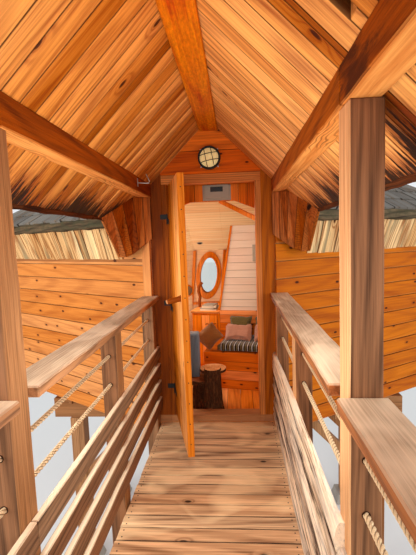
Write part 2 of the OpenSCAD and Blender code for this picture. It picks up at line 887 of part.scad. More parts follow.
back_t = 22;
bench_end = -80;
bench_taper = 30;
module bench() {
  y = -back_t - 2 * seam;
  color("darkorange") intersection() {
    in_nook() {
      linear_extrude(bench_h) polygon([[bench_end, y], [bench_end + bench_taper, y - bench_d],
        [room_w, y - bench_d], [room_w, y]]);
      box(0, room_w, -back_t - seam, -seam, 0, back_top);
    }
    inside_room(seam);
  }
}

cushion_x = 80;
cushion_in = 12;
cushion_top = bench_h + seam + cushion_t;
module seat_cushion() {
  color("olive") intersection() {
    in_nook() box(cushion_x, room_w, -bench_d - back_t + cushion_in, -back_t - cushion_in,
      bench_h + seam, cushion_top);
    inside_room(cushion_in);
  }
}

// One pillow that leans back: lower front edge at x, y, then width, height and thickness
module leaning_pillow(x, y, w, h, t, lean) {
  z = cushion_top + seam;
  in_nook() slab_x([[y, z], [y + t, z], [y + t + lean, z + h], [y + lean, z + h]], x, x + w);
}

pillow_t = 95;
pillow_gap = 4;
back_pillow_x = 124;
back_pillow_w = 282;
back_pillow_h = 213;
back_pillow_lean = 165;
front_pillow_x = 120;
front_pillow_w = 312;
front_pillow_h = 148;
front_pillow_lean = 120;
front_pillow_off = 40;
corner_pillow = 205;
corner_pillow_x = -14;
corner_pillow_y = -513;
module pillows() {
  y = -back_t - pillow_t - back_pillow_lean - 4;
  color("rosybrown") {
    for (i = [0, 1]) {
      leaning_pillow(back_pillow_x + i * (back_pillow_w + pillow_gap), y, back_pillow_w,
        back_pillow_h, pillow_t, back_pillow_lean);
      leaning_pillow(front_pillow_x + i * (front_pillow_w + pillow_gap),
        y - pillow_t - front_pillow_off, front_pillow_w, front_pillow_h, pillow_t, front_pillow_lean);
    }
    in_nook() translate([corner_pillow_x, corner_pillow_y, bench_h + seam + corner_pillow / sqrt(2)])
      rotate([0, 45, 0]) cube([corner_pillow, 90, corner_pillow], center = true);
  }
}

// Planks whose free edge leans back above the bench's back board
edge_lean = 0.178;
module plank_partition() {
  x1 = (partition_h - back_top) * edge_lean;
  color("white") intersection() {
    in_nook() slab_y([[0, 0], [0, back_top], [x1, partition_h], [room_w, partition_h],
      [room_w, 0]], 0, partition_t);
    place() under_ceiling();
  }
}

top_board_t = 25;
top_board_over = 10;
cabinet_gap = 12;
cabinet_door_t = 16;
cabinet_door_in = 30;
module cabinet() {
  x0 = -cabinet_gap - cabinet_w;
  x1 = -cabinet_gap;
  top = cabinet_h - top_board_t;
  color("orange") in_nook() {
    box(x0, x1, cabinet_door_t + seam, cabinet_d, 0, top - seam);
    box(x0 - top_board_over, x1, -top_board_over, cabinet_d, top, cabinet_h);
    box(x0 + cabinet_door_in, x1 - cabinet_door_in, 0, cabinet_door_t, 60, top - 25);
  }
}

// Inner timbers: leaning window posts with a rail, the partition's edge strip, and a slim beam
// from the peak of the ceiling down to the right slanting wall
room_post_w = 45;
room_post_d = 40;
room_post_lean = 0.09;
room_post_x = half_front - 5;
room_rail_z = 500;
room_rail_h = 40;
strip_w = 22;
strip_over = 12;
beam_end_x = 1050;
room_beam_w = 34;
room_beam_h = 48;
module leaning_post(x) {
  w = room_post_w / 2;
  z1 = ceil_low - 3;
  a = room_post_lean * oval_z;
  b = room_post_lean * (z1 - oval_z);
  y = cabin_d - wall_t;
  slab_y([[x - a - w, 0], [x - a + w, 0], [x + b + w, z1], [x + b - w, z1]], y - room_post_d, y - seam);
}

function post_at(x, z) = x + room_post_lean * (z - oval_z);
module post_rail(x0, x1) {
  w = room_post_w / 2 + seam;
  z1 = room_rail_z + room_rail_h;
  y = cabin_d - wall_t;
  slab_y([[post_at(x0, room_rail_z) + w, room_rail_z], [post_at(x1, room_rail_z) - w, room_rail_z],
    [post_at(x1, z1) - w, z1], [post_at(x0, z1) + w, z1]], y - room_post_d, y - seam);
}

module peak_beam() {
  low = ceil_low - room_beam_h / 2;
  high = ceil_top - room_beam_h;
  wall_y = wall_t + (beam_end_x - mitre_x) * tan(slant_ang);
  run = norm([beam_end_x, ridge_y - wall_y]) + 2 * room_beam_w;
  fall = (high - low) / (run - 2 * room_beam_w);
  intersection() {
    translate([0, ridge_y, 0]) rotate([0, 0, -atan2(ridge_y - wall_y, beam_end_x)])
      slab_y([[-room_beam_w, high + fall * room_beam_w], [run, high - fall * run],
        [run, high - fall * run + room_beam_h], [-room_beam_w, high + fall * room_beam_w + room_beam_h]],
        -room_beam_w / 2, room_beam_w / 2);
    under_ceiling();
    box(seam, half_cabin, 0, cabin_d, 0, cabin_top);
  }
}

module room_timbers() {
  x1 = (partition_h - back_top) * edge_lean - seam;
  color("chocolate") {
    place() {
      intersection() {
        union() {
          for (x = [-room_post_x, -room_post_w / 2, room_post_x]) leaning_post(x);
          post_rail(-room_post_x, -room_post_w / 2);
          post_rail(-room_post_w / 2, room_post_x);
        }
        room_space(seam);
      }
      peak_beam();
    }
    in_nook() slab_y([[-strip_w - seam, back_top + seam], [-seam, back_top + seam],
      [x1, partition_h], [x1 - strip_w, partition_h]], -strip_over, partition_t + strip_over);
  }
}

// A stump carries a slab; a tall log stands in front of it and a slice of trunk is let in round
// the log's head
stump_x = -120;
stump_y = 370;
stump_r = 150;
stump_h = 255;
log_x = -50;
log_y = 208;
log_r = 77;
log_h = 400;
slab_t = 25;
slice_x = -48;
slice_y = 288;
slice_z = 353;
slice_r = 122;
slice_t = 23;
stump_top = stump_h + slab_t + 2 * seam;
module stump_table() {
  color("saddlebrown") place() {
    translate([log_x, log_y, 0]) cylinder(r1 = log_r + 5, r2 = log_r, h = log_h);
    difference() {
      union() {
        translate([stump_x, stump_y, 0]) cylinder(r1 = stump_r, r2 = stump_r - 40, h = stump_h);
        translate([0, 0, stump_h + seam]) linear_extrude(slab_t) polygon([[-300, 330], [-255, 195],
          [-170, 175], [-90, 190], [-15, 205], [5, 290], [-20, 395], [-110, 440], [-235, 450]]);
        translate([slice_x, slice_y, slice_z]) cylinder(r = slice_r, h = slice_t);
      }
      translate([log_x, log_y, -1]) cylinder(r1 = log_r + 5 + seam, r2 = log_r + seam, h = log_h);
    }
  }
}

heater_x = -268;
heater_w = 92;
heater_y = 300;
heater_d = 120;
heater_h = 410;
module heater() {
  color("slategray") place()
    box(heater_x, heater_x + heater_w, heater_y, heater_y + heater_d, stump_top, stump_top + heater_h);
}

footings();
cabin_stilts();
stilt_braces();
cabin_beams();
cabin_floor();
walkway_beams();
walkway_deck();
tall_posts();
rail_posts();
handrails();
rail_boards_left();
rail_slabs_right();
rail_ropes();
roof_plates();
ridge_beam();
walkway_roof_left();
walkway_roof_right();
corner_posts();
door_frame();
gable_wall();
door_leaf();
door_handle();
door_hinges();
frame_hinges();
lamp_body();
lamp_glass();
lamp_cage();
eave_cheeks();
front_walls();
side_walls();
back_walls();
window_wall();
window_frames();
window_glass();
eave_band();
cabin_roof();
ceiling();
dormer_walls();
entry_bulkhead();
vent_box();
room_timbers();
bench();
seat_cushion();
pillows();
plank_partition();
cabinet();
stump_table();
heater();
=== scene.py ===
"""Looks of the timber tree house: boards, shakes, ropes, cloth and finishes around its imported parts."""

import json
import math
import random

import bmesh
import bpy
from mathutils import Matrix, Vector, noise


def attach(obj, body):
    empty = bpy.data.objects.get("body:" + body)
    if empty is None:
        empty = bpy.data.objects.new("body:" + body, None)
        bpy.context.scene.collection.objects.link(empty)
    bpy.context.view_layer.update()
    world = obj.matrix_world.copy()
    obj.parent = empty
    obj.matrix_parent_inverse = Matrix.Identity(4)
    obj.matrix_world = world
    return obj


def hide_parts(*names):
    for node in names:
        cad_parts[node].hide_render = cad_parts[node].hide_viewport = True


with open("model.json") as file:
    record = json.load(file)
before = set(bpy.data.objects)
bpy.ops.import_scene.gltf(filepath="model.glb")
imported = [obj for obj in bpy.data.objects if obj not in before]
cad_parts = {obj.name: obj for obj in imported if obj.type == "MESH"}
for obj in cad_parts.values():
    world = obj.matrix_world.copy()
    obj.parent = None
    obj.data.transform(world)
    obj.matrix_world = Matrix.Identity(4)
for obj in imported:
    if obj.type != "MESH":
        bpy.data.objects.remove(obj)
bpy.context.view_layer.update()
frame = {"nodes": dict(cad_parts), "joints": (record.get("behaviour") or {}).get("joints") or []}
noise.seed_set(5)

X, Y, Z = Vector((1, 0, 0)), Vector((0, 1, 0)), Vector((0, 0, 1))


def turning(degrees, axis):
    """A turn about an axis."""
    return Matrix.Rotation(math.radians(degrees), 4, axis)


def towards(direction):
    """A turn that points z in a direction."""
    return direction.to_track_quat("Z", "Y").to_matrix().to_4x4()


# The door's own frame: the middle of the doorway at deck height, with y into the cabin
HINGE = Vector((-0.358, -0.010, 0))
PLACE = Vector(frame["joints"][0]["pos_m"]) - HINGE
DOOR_TURN = Matrix.Translation(HINGE) @ turning(-75, "Z")

# How far boards that meet are kept apart
APART = 0.0003

# Walkway
BAY, BAYS = 1.035, 4
POST_IN, POST_W, POST_D = 0.495, 0.092, 0.107
POST_X = POST_IN + POST_W / 2
MIDDLE_POST = -2 * BAY
WALK_END = -BAY * BAYS - POST_D / 2
FRONT_END = WALK_END - 0.260
SPANS = [(-BAY * BAYS, MIDDLE_POST), (MIDDLE_POST, 0)]
BOARD_SPANS = [(WALK_END, MIDDLE_POST), (MIDDLE_POST, 0)]
BOARD_T, BOARD_TOP, BOARD_H, BOARD_PITCH = 0.026, 0.668, 0.093, 0.146
ROPE_HEIGHTS = (0.910, 0.745)
APEX, EAVE_X, ROOF_V = 2.490, 0.765, 0.046 * math.sqrt(2)
CREST = APEX + ROOF_V
SHAKE_SHOWN = 0.185

# Cabin
HALF_FRONT, SLANT, SLANT_ANGLE, SIDE = 0.505, 2.390, math.radians(33), 0.600
SLANT_Y = SLANT * math.sin(SLANT_ANGLE)
HALF_CABIN = HALF_FRONT + SLANT * math.cos(SLANT_ANGLE)
CABIN_D = 2 * SLANT_Y + SIDE
RIDGE_Y = CABIN_D / 2
SIDING_TOP, ROOF_LOW, ROOF_OUT, ROOF_T = 1.400, 1.690, 0.150, 0.070
SIDING_LINE, SIDING_PITCH, SHADOW = 1.3475, 0.1452, 0.0015
EAVE_TOP = ROOF_LOW + ROOF_T
CABIN_TOP = CREST + 0.165
CABIN_SLOPE = (CABIN_TOP - EAVE_TOP) / (RIDGE_Y + ROOF_OUT)
BAND_T, BAND_LEAN, BAND_START = 0.024, 0.33 * (ROOF_LOW - SIDING_TOP), 0.7863
RIDGE = [Vector((s * HALF_FRONT, RIDGE_Y, CABIN_TOP)) for s in (-1, 1)]

# The seat corner stands at a slant in the room
NOOK = Matrix.Translation((-0.010, 1.330, 0)) @ turning(-12, "Z")
NOOK_X, NOOK_Y = (NOOK.to_3x3() @ way for way in (X, Y))


# ---- Meshes

def blank():
    """An empty mesh whose points carry their place along the grain, their board's tone, and how far
    they lie from the middle line of a board of that half width."""
    bm = bmesh.new()
    bm.verts.layers.float_vector.new("grain")
    bm.verts.layers.float_vector.new("board")
    bm.verts.layers.float.new("tone")
    return bm


def layer(bm, name):
    return (bm.verts.layers.float if name == "tone" else bm.verts.layers.float_vector)[name]


def pour(into, bm):
    """Adds all of bm to the mesh into."""
    mesh = bpy.data.meshes.new("poured")
    bm.to_mesh(mesh)
    bm.free()
    into.from_mesh(mesh)
    bpy.data.meshes.remove(mesh)


def turn(bm, matrix):
    bmesh.ops.transform(bm, matrix=matrix, verts=bm.verts)


def middle_of(bm):
    return sum((v.co for v in bm.verts), Vector()) / len(bm.verts)


def reach(bm, way):
    """The least and the most that the points of bm reach along a direction."""
    along = [v.co.dot(way) for v in bm.verts]
    return min(along), max(along)


def length_of(bm, way):
    low, high = reach(bm, way)
    return high - low


def grain_by(bm, rng, along, across, tone=None):
    """Lays the grain of a board along one direction, from a heart that lies at random beside it."""
    grain, board, shade = (layer(bm, name) for name in ("grain", "board", "tone"))
    depth, middle = along.cross(across).normalized(), middle_of(bm)
    heart = Vector((rng.uniform(0, 50), rng.uniform(-0.12, 0.12), rng.uniform(0.03, 0.25)))
    tone = rng.random() if tone is None else tone
    low, high = reach(bm, across)
    for v in bm.verts:
        p = v.co - middle
        v[grain] = Vector((p.dot(along), p.dot(across), p.dot(depth))) + heart
        v[board] = Vector((v.co.dot(across) - (low + high) / 2, (high - low) / 2, 0))
        v[shade] = tone


def soften(bm, width):
    """Rounds the sharp edges of bm."""
    sharp = [e for e in bm.edges if len(e.link_faces) == 2 and e.calc_face_angle(0) > 0.35]
    bmesh.ops.bevel(bm, geom=sharp, offset=width, offset_type="OFFSET", segments=1, profile=0.5,
        affect="EDGES", material=-1, clamp_overlap=True)


def wander(bm, amount, lump, seed):
    """Moves points a little, as a hand tool or weather does, in lumps of about that size."""
    for v in bm.verts:
        v.co += noise.noise_vector(v.co / lump + Vector((seed, 0, 0))) * amount


def divide(bm, along, cuts):
    """Cuts the edges that run along a direction into short lengths."""
    edges = [e for e in bm.edges
        if abs((e.verts[0].co - e.verts[1].co).normalized().dot(along)) > 0.7]
    bmesh.ops.subdivide_edges(bm, edges=edges, cuts=cuts, use_grid_fill=True)


def cut_off(bm, point, normal):
    """Saws off what lies beyond a plane and closes the cut."""
    bmesh.ops.bisect_plane(bm, geom=bm.verts[:] + bm.edges[:] + bm.faces[:], dist=1e-6,
        plane_co=point, plane_no=normal, clear_outer=True)
    open_edges = [e for e in bm.edges if e.is_boundary]
    if open_edges:
        bmesh.ops.holes_fill(bm, edges=open_edges, sides=0)


def drawn(bm, faces):
    """Extrudes faces, and gives the new points."""
    made = bmesh.ops.extrude_face_region(bm, geom=faces, use_keep_orig=True)["geom"]
    return [v for v in made if isinstance(v, bmesh.types.BMVert)]


def add_board(into, bm, rng, grain, across, edge=0.0, tone=None, cuts=0, rough=0.0, lump=0.11,
              planes=()):
    """Adds a board to the mesh into, with its grain, its cuts by planes, its edges and its wear."""
    bmesh.ops.recalc_face_normals(bm, faces=bm.faces)
    if cuts:
        divide(bm, grain, cuts)
    grain_by(bm, rng, grain, across, tone)
    for point, normal in planes:
        cut_off(bm, point, normal)
        if not bm.faces:
            bm.free()
            return
    if edge:
        soften(bm, edge)
    if rough:
        wander(bm, rough, lump, rng.uniform(0, 90))
    pour(into, bm)


def plank(into, foot, head, rng, edge=0.003, **ways):
    """One board from the four corners of its foot to those of its head, with the grain between."""
    bm = blank()
    bmesh.ops.create_cube(bm, size=2.0)
    order = [(-1, -1), (1, -1), (1, 1), (-1, 1)]
    for v in bm.verts:
        end = foot if v.co.x < 0 else head
        v.co = Vector(end[order.index((round(v.co.y), round(v.co.z)))])
    along = sum((Vector(h) - Vector(f) for f, h in zip(foot, head)), Vector()).normalized()
    across = Vector(foot[1]) - Vector(foot[0])
    across = (across - along * across.dot(along)).normalized()
    add_board(into, bm, rng, along, across, edge, **ways)


def block(into, low, high, rng, grain="X", **ways):
    """A board with square ends between two corners of its box, with the grain along one axis."""
    (x0, y0, z0), (x1, y1, z1) = low, high
    foot, head = {
        "X": ([(x, y0, z0), (x, y1, z0), (x, y1, z1), (x, y0, z1)] for x in (x0, x1)),
        "Y": ([(x0, y, z0), (x1, y, z0), (x1, y, z1), (x0, y, z1)] for y in (y0, y1)),
        "Z": ([(x0, y0, z), (x1, y0, z), (x1, y1, z), (x0, y1, z)] for z in (z0, z1))}[grain]
    plank(into, foot, head, rng, **ways)


def disc(into, at, radius, top_radius, depth, segments, way=Matrix()):
    """A short cone at a place, such as the head of a screw; way turns it out of the level."""
    bmesh.ops.create_cone(into, cap_ends=True, segments=segments, radius1=radius,
        radius2=top_radius, depth=depth, matrix=Matrix.Translation(at) @ way)


def rod(into, route, radius, segments=10):
    """A round rod along a route of points."""
    points = [Vector(p) for p in route]
    bm = blank()
    ring = None
    for n, p in enumerate(points):
        ahead = points[min(n + 1, len(points) - 1)] - points[max(n - 1, 0)]
        made = bmesh.ops.create_circle(bm, segments=segments, radius=radius,
            matrix=Matrix.Translation(p) @ towards(ahead), cap_ends=n in (0, len(points) - 1))["verts"]
        edges = [e for e in bm.edges if e.verts[0] in made and e.verts[1] in made]
        if ring:
            bmesh.ops.bridge_loops(bm, edges=ring + edges)
        ring = edges
    bmesh.ops.recalc_face_normals(bm, faces=bm.faces)
    pour(into, bm)


def turned(segments, rings, shape):
    """A round bar. From a point's share of the length, its direction out and its angle, shape gives
    its place and its grain."""
    bm = blank()
    bmesh.ops.create_cone(bm, cap_ends=True, segments=segments, radius1=1, radius2=1, depth=1)
    divide(bm, Z, rings)
    grain = layer(bm, "grain")
    for v in bm.verts:
        t, angle = v.co.z + 0.5, math.atan2(v.co.y, v.co.x)
        v.co, v[grain] = shape(t, Vector((math.cos(angle), math.sin(angle), 0)), angle)
    return bm


def solid_of(node):
    """The CAD solid in the door's frame, with its triangles joined again."""
    bm = blank()
    bm.from_mesh(frame["nodes"][node].data)
    bmesh.ops.translate(bm, vec=-PLACE, verts=bm.verts)
    bmesh.ops.remove_doubles(bm, verts=bm.verts, dist=2e-5)
    bmesh.ops.dissolve_limit(bm, angle_limit=0.01, verts=bm.verts, edges=bm.edges)
    return bm


def parts_of(whole):
    """Splits a mesh into its separate solids, each a mesh of its own, in the order of their places."""
    whole.faces.index_update()
    made, seen = [], set()
    for face in whole.faces:
        if face.index in seen:
            continue
        group, queue = {face.index}, [face]
        while queue:
            for e in queue.pop().edges:
                for other in e.link_faces:
                    if other.index not in group:
                        group.add(other.index)
                        queue.append(other)
        seen |= group
        part = whole.copy()
        part.faces.index_update()
        away = [f for f in part.faces if f.index not in group]
        bmesh.ops.delete(part, geom=away, context="FACES")
        made.append(part)
    whole.free()
    return sorted(made, key=lambda part: [round(c, 3) for c in middle_of(part)])


def boards_of(into, node, rng, edge, tone_at=None):
    """Each solid of a CAD node as a timber of its own, with the grain along its longest side."""
    for part in parts_of(solid_of(node)):
        longest, next_one, _ = sorted((X, Y, Z), key=lambda way: -length_of(part, way))
        tone = tone_at(middle_of(part).x) if tone_at else None
        add_board(into, part, rng, longest, next_one, edge, tone)


def thing(name, data):
    """A new object in the scene."""
    made = bpy.data.objects.new(name, data)
    bpy.context.scene.collection.objects.link(made)
    return made


def piece(name, bm, finishes, slot, *stands_for, body="root", smooth=None):
    """Makes bm a piece of the tree house that rides on a body, and puts it in place."""
    bmesh.ops.translate(bm, vec=PLACE, verts=bm.verts)
    mesh = bpy.data.meshes.new(name)
    bm.to_mesh(mesh)
    bm.free()
    for finish in finishes.split():
        mesh.materials.append(FINISH[finish])
    if smooth is not None:
        mesh.shade_smooth()
        mesh.set_sharp_from_angle(angle=math.radians(smooth))
    made = thing(name, mesh)
    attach(made, body)
    if stands_for:
        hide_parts(*stands_for)
    return made


def sawn_piece(rng, name, node, finish, slot, across, widths, grain, gap, edge):
    """A CAD solid sawn into boards: across is the direction that their widths add up in."""
    boards, whole = blank(), solid_of(node)
    at, last = reach(whole, across)
    while at < last - 0.004:
        width = min(rng.uniform(*widths) if widths[1:] else widths[0], last - at)
        bm = whole.copy()
        cut_off(bm, across * (at + gap / 2), -across)
        cut_off(bm, across * (at + width - gap / 2), across)
        at += width
        if bm.faces:
            add_board(boards, bm, rng, grain, across, edge)
    whole.free()
    piece(name, boards, finish, slot, node)


def dress(node, finish, edge):
    """Gives a CAD node its finish, and rounds its edges if edge isn't 0."""
    made = frame["nodes"][node]
    made.data.materials.clear()
    made.data.materials.append(FINISH[finish])
    if edge:
        made.modifiers.new("weld", "WELD").merge_threshold = 2e-5
        round_off = made.modifiers.new("rounded", "BEVEL")
        round_off.width, round_off.segments = edge, 2
        round_off.limit_method, round_off.angle_limit = "ANGLE", math.radians(35)


# ---- Finishes

def screen(red, green, blue):
    """A colour as it is seen on a screen, from 0 to 255, as the shader's own numbers."""
    channels = (c / 255 for c in (red, green, blue))
    return tuple(c / 12.92 if c < 0.04045 else ((c + 0.055) / 1.055) ** 2.4 for c in channels) + (1,)


def dim(colour, share):
    return tuple(c * share for c in screen(*colour)[:3]) + (1,)


class Finish:
    """A procedural material, with short ways to make and join its nodes. A colour of three numbers
    is one as it is seen on a screen."""

    def __init__(self, name, rough, metal=0.0):
        self.material = bpy.data.materials.new(name)
        self.material.use_nodes = True
        self.tree = self.material.node_tree
        self.shader = self.tree.nodes["Principled BSDF"]
        self.set({"Roughness": rough, "Metallic": metal, "Specular IOR Level": 0.5 if metal else 0.12})

    def set(self, values):
        for name, value in values.items():
            self.put(self.shader.inputs[name], value)

    def put(self, socket, value):
        if isinstance(value, bpy.types.NodeSocket):
            self.tree.links.new(value, socket)
        elif socket.type == "RGBA" and len(value) == 3:
            socket.default_value = screen(*value)
        else:
            socket.default_value = value

    def node(self, kind, inputs, out=0, **settings):
        made = self.tree.nodes.new("ShaderNode" + kind)
        for key, value in settings.items():
            setattr(made, key, value)
        for key, value in inputs.items():
            self.put(made.inputs[key], value)
        return made.outputs[out]

    def math(self, operation, a, b=0.0):
        return self.node("Math", {0: a, 1: b}, operation=operation)

    def times(self, a, b):
        return self.math("MULTIPLY", a, b)

    def plus(self, total, *others):
        for other in others:
            total = self.math("ADD", total, other)
        return total

    def minus(self, a, b):
        return self.math("SUBTRACT", a, b)

    def wave(self, value, length=1.0):
        return self.math("SINE", self.times(value, math.tau / length))

    def vector(self, operation, a, b=(0, 0, 0), out=0):
        return self.node("VectorMath", {0: a, 1: b}, out=out, operation=operation)

    def scaled(self, place, *stretch):
        return self.vector("MULTIPLY", place, stretch)

    def part(self, place, i):
        return self.node("SeparateXYZ", {0: place}, out=i)

    def noise(self, place, stretch, detail=2.0, rough=0.55, out=0, bend=0.0):
        return self.node("TexNoise", {"Vector": self.scaled(place, *stretch), "Scale": 1.0,
            "Detail": detail, "Roughness": rough, "Distortion": bend}, out=out)

    def spread(self, value, low, high, to_low=0.0, to_high=1.0):
        return self.node("MapRange", {0: value, 1: low, 2: high, 3: to_low, 4: to_high})

    def mix(self, share, a, b):
        return self.node("Mix", {0: share, 6: a, 7: b}, out=2, data_type="RGBA")

    def toned(self, colour, value, **more):
        return self.node("HueSaturation", {"Color": colour, "Value": value, **more})

    def at(self, i=None):
        """The place on the object, or one of its three numbers."""
        place = self.node("TexCoord", {}, out=3)
        return place if i is None else self.part(place, i)

    def facing(self, i, out=1):
        """One of the three numbers of the direction that the surface faces."""
        return self.part(self.node("NewGeometry", {}, out=out), i)

    def own(self, name, out=1):
        """What the points of the mesh carry: out is 1 for three numbers and 2 for one."""
        return self.node("Attribute", {}, out=out, attribute_name=name)

    def done(self, colour, height, depth):
        """Joins the colour and the relief to the shader, and gives the material."""
        bump = self.node("Bump", {"Height": height, "Distance": depth, "Strength": 1.0})
        self.set({"Base Color": colour, "Normal": bump})
        return self.material


TURNS = {"X": (0, 1, 2), "Y": (1, 0, 2), "Z": (2, 0, 1)}


def wood(name, light, dark, streak, ring, knots, grain=None, tones=(0.72, 1.18),
         hues=(0.490, 0.505), grey=None, grey_share=0.0, rough=0.62, relief=0.0012, joint=0.5,
         extra=None, squared=False):
    """Wood with fibres, growth rings and knots, along each board's own grain or along an axis.
    knots says how close they lie, how many there are of them, and how big they are; joint says how
    dark the long edges of a board are; squared timber has knots on all its sides."""
    f = Finish(name, rough)
    if grain:
        place = f.node("CombineXYZ", {i: f.at(n) for i, n in enumerate(TURNS[grain])})
        tone = f.spread(f.noise(place, (0.3, 1.7, 1.7), 1.0), 0.3, 0.7)
    else:
        place, tone = f.own("grain"), f.own("tone", 2)
    close, many, size = knots
    bent = f.vector("SUBTRACT", f.noise(place, (0.9, 5, 5), 2.0, 0.5, out=1), (0.5, 0.5, 0.5))
    bent = f.vector("ADD", place, f.scaled(bent, 0, 0.05, 0.05))
    cell = f.node("TexVoronoi", {"Vector": f.scaled(place, close / 2, close, close), "Scale": 1.0,
        "Randomness": 0.5}, feature="F1", voronoi_dimensions="3D" if grain or squared else "2D").node
    some = f.math("LESS_THAN", f.node("SeparateColor", {0: cell.outputs["Color"]}), many)
    near = f.times(f.spread(cell.outputs["Distance"], 0.25, 0.05), some)
    heart = f.times(f.spread(cell.outputs["Distance"], size, size * 0.6), some)
    far = f.vector("LENGTH", f.scaled(bent, 0.02, 1, 1), out=1)
    far = f.plus(far, f.times(f.times(near, near), 0.09 / close))
    rings = f.spread(f.wave(far, ring), 0.0, 1.0)
    fibre = f.noise(place, (5, 330, 330), 3.0, 0.6)
    streaks = f.noise(bent, (1.3, 75, 75), 3.0, 0.62)
    broad = f.noise(place, (0.7, 14, 14), 2.0, 0.5)
    share = f.plus(f.times(rings, streak * 0.52), f.times(f.spread(fibre, 0.35, 0.68), streak * 0.40),
        f.spread(streaks, 0.36, 0.68, -0.12, streak * 0.52), f.spread(broad, 0.35, 0.70, -0.10, 0.25))
    colour = f.mix(f.node("Clamp", {0: share}), light, dark)
    if grey:
        worn, least = f.noise(place, (1.4, 16, 16), 3.0, 0.65), 0.62 - grey_share * 0.4
        colour = f.mix(f.spread(worn, least, least + 0.13), colour, f.mix(fibre, grey, dim(grey, 0.55)))
    colour = f.mix(f.times(near, 0.35), colour, dark)
    colour = f.mix(heart, colour, dim(dark, 0.25))
    colour = f.toned(colour, f.spread(tone, 0.0, 1.0, *tones),
        Saturation=f.spread(tone, 0.0, 1.0, 1.12, 0.95), Hue=f.spread(tone, 0.0, 1.0, *hues))
    if not grain and joint:
        off, half = (f.part(f.own("board"), i) for i in (0, 1))
        rim = f.spread(f.minus(half, f.math("ABSOLUTE", off)), 0.0010, 0.0038, joint, 0.0)
        colour = f.mix(f.times(rim, f.math("GREATER_THAN", half, 0.012)), colour, dim(dark, 0.18))
    if extra:
        colour = extra(f, place, colour)
    height = f.plus(f.times(fibre, 0.8), f.times(rings, -0.25), f.times(streaks, 0.8))
    return f.done(colour, f.minus(height, heart), relief)


def plain(name, colour, rough=0.5, metal=0.0, speckle=0.12, size=40.0, relief=0.0004):
    """Paint, iron or stone: one colour with small changes of tone and a fine skin."""
    f = Finish(name, rough, metal)
    spots = f.noise(f.at(), (size,) * 3, 4.0, 0.6)
    cloud = f.noise(f.at(), (size * 0.08,) * 3, 3.0, 0.5)
    value = f.plus(f.spread(spots, 0.2, 0.8, 1 - speckle, 1 + speckle),
        f.spread(cloud, 0.3, 0.7, -speckle, speckle))
    return f.done(f.toned(colour, value), spots, relief)


def eave_stain(f, place, colour):
    """Black water stains with a red-brown fringe run up the boards from the eaves of the walkway."""
    ragged = f.spread(f.noise(place, (4.5, 52, 52), 4.0, 0.8), 0.3, 0.7, -0.090, 0.090)
    region = f.spread(f.noise(f.at(), (0.5, 3.2, 0.5), 2.0, 0.5), 0.35, 0.65, -0.050, 0.060)
    wet = f.plus(f.math("ABSOLUTE", f.at(0)), ragged, region)
    colour = f.mix(f.spread(wet, 0.630, 0.710, 0.0, 0.70), colour, (146, 62, 18))
    return f.mix(f.spread(wet, 0.694, 0.728, 0.0, 0.95), colour, (26, 14, 8))


def black_stain(f, place, colour):
    """Pale, wavy growth lines under the plates, and dark flames of damp beside their joint over the
    right middle post."""
    under = f.spread(f.facing(2), -0.6, -0.9)
    wavy = f.plus(f.times(f.at(0), 62.0), f.times(f.noise(f.at(), (7, 2.4, 7), 3.0, 0.55), 9.0))
    growth = f.times(f.spread(f.wave(wavy), 0.2, 0.9),
        f.spread(f.noise(f.at(), (5, 1.6, 5), 2.0), 0.40, 0.60))
    fibre = f.spread(f.noise(place, (2, 60, 60), 3.0, 0.6), 0.35, 0.65)
    grained = f.mix(f.times(growth, 0.75), f.mix(fibre, (252, 174, 92), (216, 128, 56)), (112, 58, 20))
    colour = f.mix(f.times(under, 0.8), colour, grained)
    off = f.math("ABSOLUTE", f.minus(f.at(1), PLACE.y + MIDDLE_POST - 0.10))
    flame = f.noise(f.at(), (9, 3.2, 16), 4.0, 0.7, bend=1.2)
    wet = f.spread(f.minus(flame, f.times(off, 1.3)), 0.26, 0.46, 0.0, 0.90)
    stained = f.times(f.times(wet, f.math("GREATER_THAN", f.at(0), 0.0)),
        f.spread(under, 0.0, 1.0, 1.0, 0.12))
    return f.mix(stained, colour, (70, 30, 8))


def painted_hollow_shade(f, place, colour):
    """The rough slabs are pale on their ridges and dark, with painted shade, down in their furrows."""
    surface_height = f.spread(f.noise(place, (7, 90, 90), 3.0, 0.65), 0.3, 0.7, -0.35, 0.35)
    surface_height = f.plus(f.part(f.own("board"), 2), surface_height)
    colour = f.mix(f.spread(surface_height, -0.10, -0.42), colour, (64, 40, 26))
    return f.mix(f.spread(surface_height, 0.05, 0.55, 0.0, 0.9), colour, (255, 232, 200))


def painted_sun_patches(f, place, colour):
    """Soft pale patches of painted sunlight on the boards."""
    patch = f.noise(f.at(), (2.3, 3.1, 2.3), 2.0, 0.5, bend=0.6)
    pale = f.mix(f.noise(place, (4, 120, 120), 3.0), (255, 224, 176), (232, 180, 124))
    return f.mix(f.spread(patch, 0.50, 0.62, 0.0, 0.60), colour, pale)


def painted_top_highlight(f, place, colour):
    """Upper edges of the rails, which face up, get a pale painted highlight."""
    wear = f.plus(f.facing(2), f.times(f.noise(place, (3, 60, 60), 3.0, 0.6), 0.4))
    return f.mix(f.spread(wear, 0.75, 1.05, 0.0, 0.85), colour, (250, 222, 184))


def weathered_top_and_painted_sun(f, place, colour):
    """Top faces weather grey-brown, with pale patches of painted sunlight; the long edges stay orange."""
    patch = f.spread(f.noise(f.at(), (4, 1.7, 4), 3.0, 0.55, bend=0.5), 0.44, 0.58)
    fibre = f.spread(f.noise(place, (3, 160, 160), 3.0, 0.6), 0.3, 0.7)
    worn = f.mix(f.times(patch, 0.65), f.mix(fibre, (216, 190, 156), (150, 122, 94)), (252, 228, 192))
    return f.mix(f.spread(f.facing(2), 0.5, 0.9, 0.0, 0.92), colour, worn)


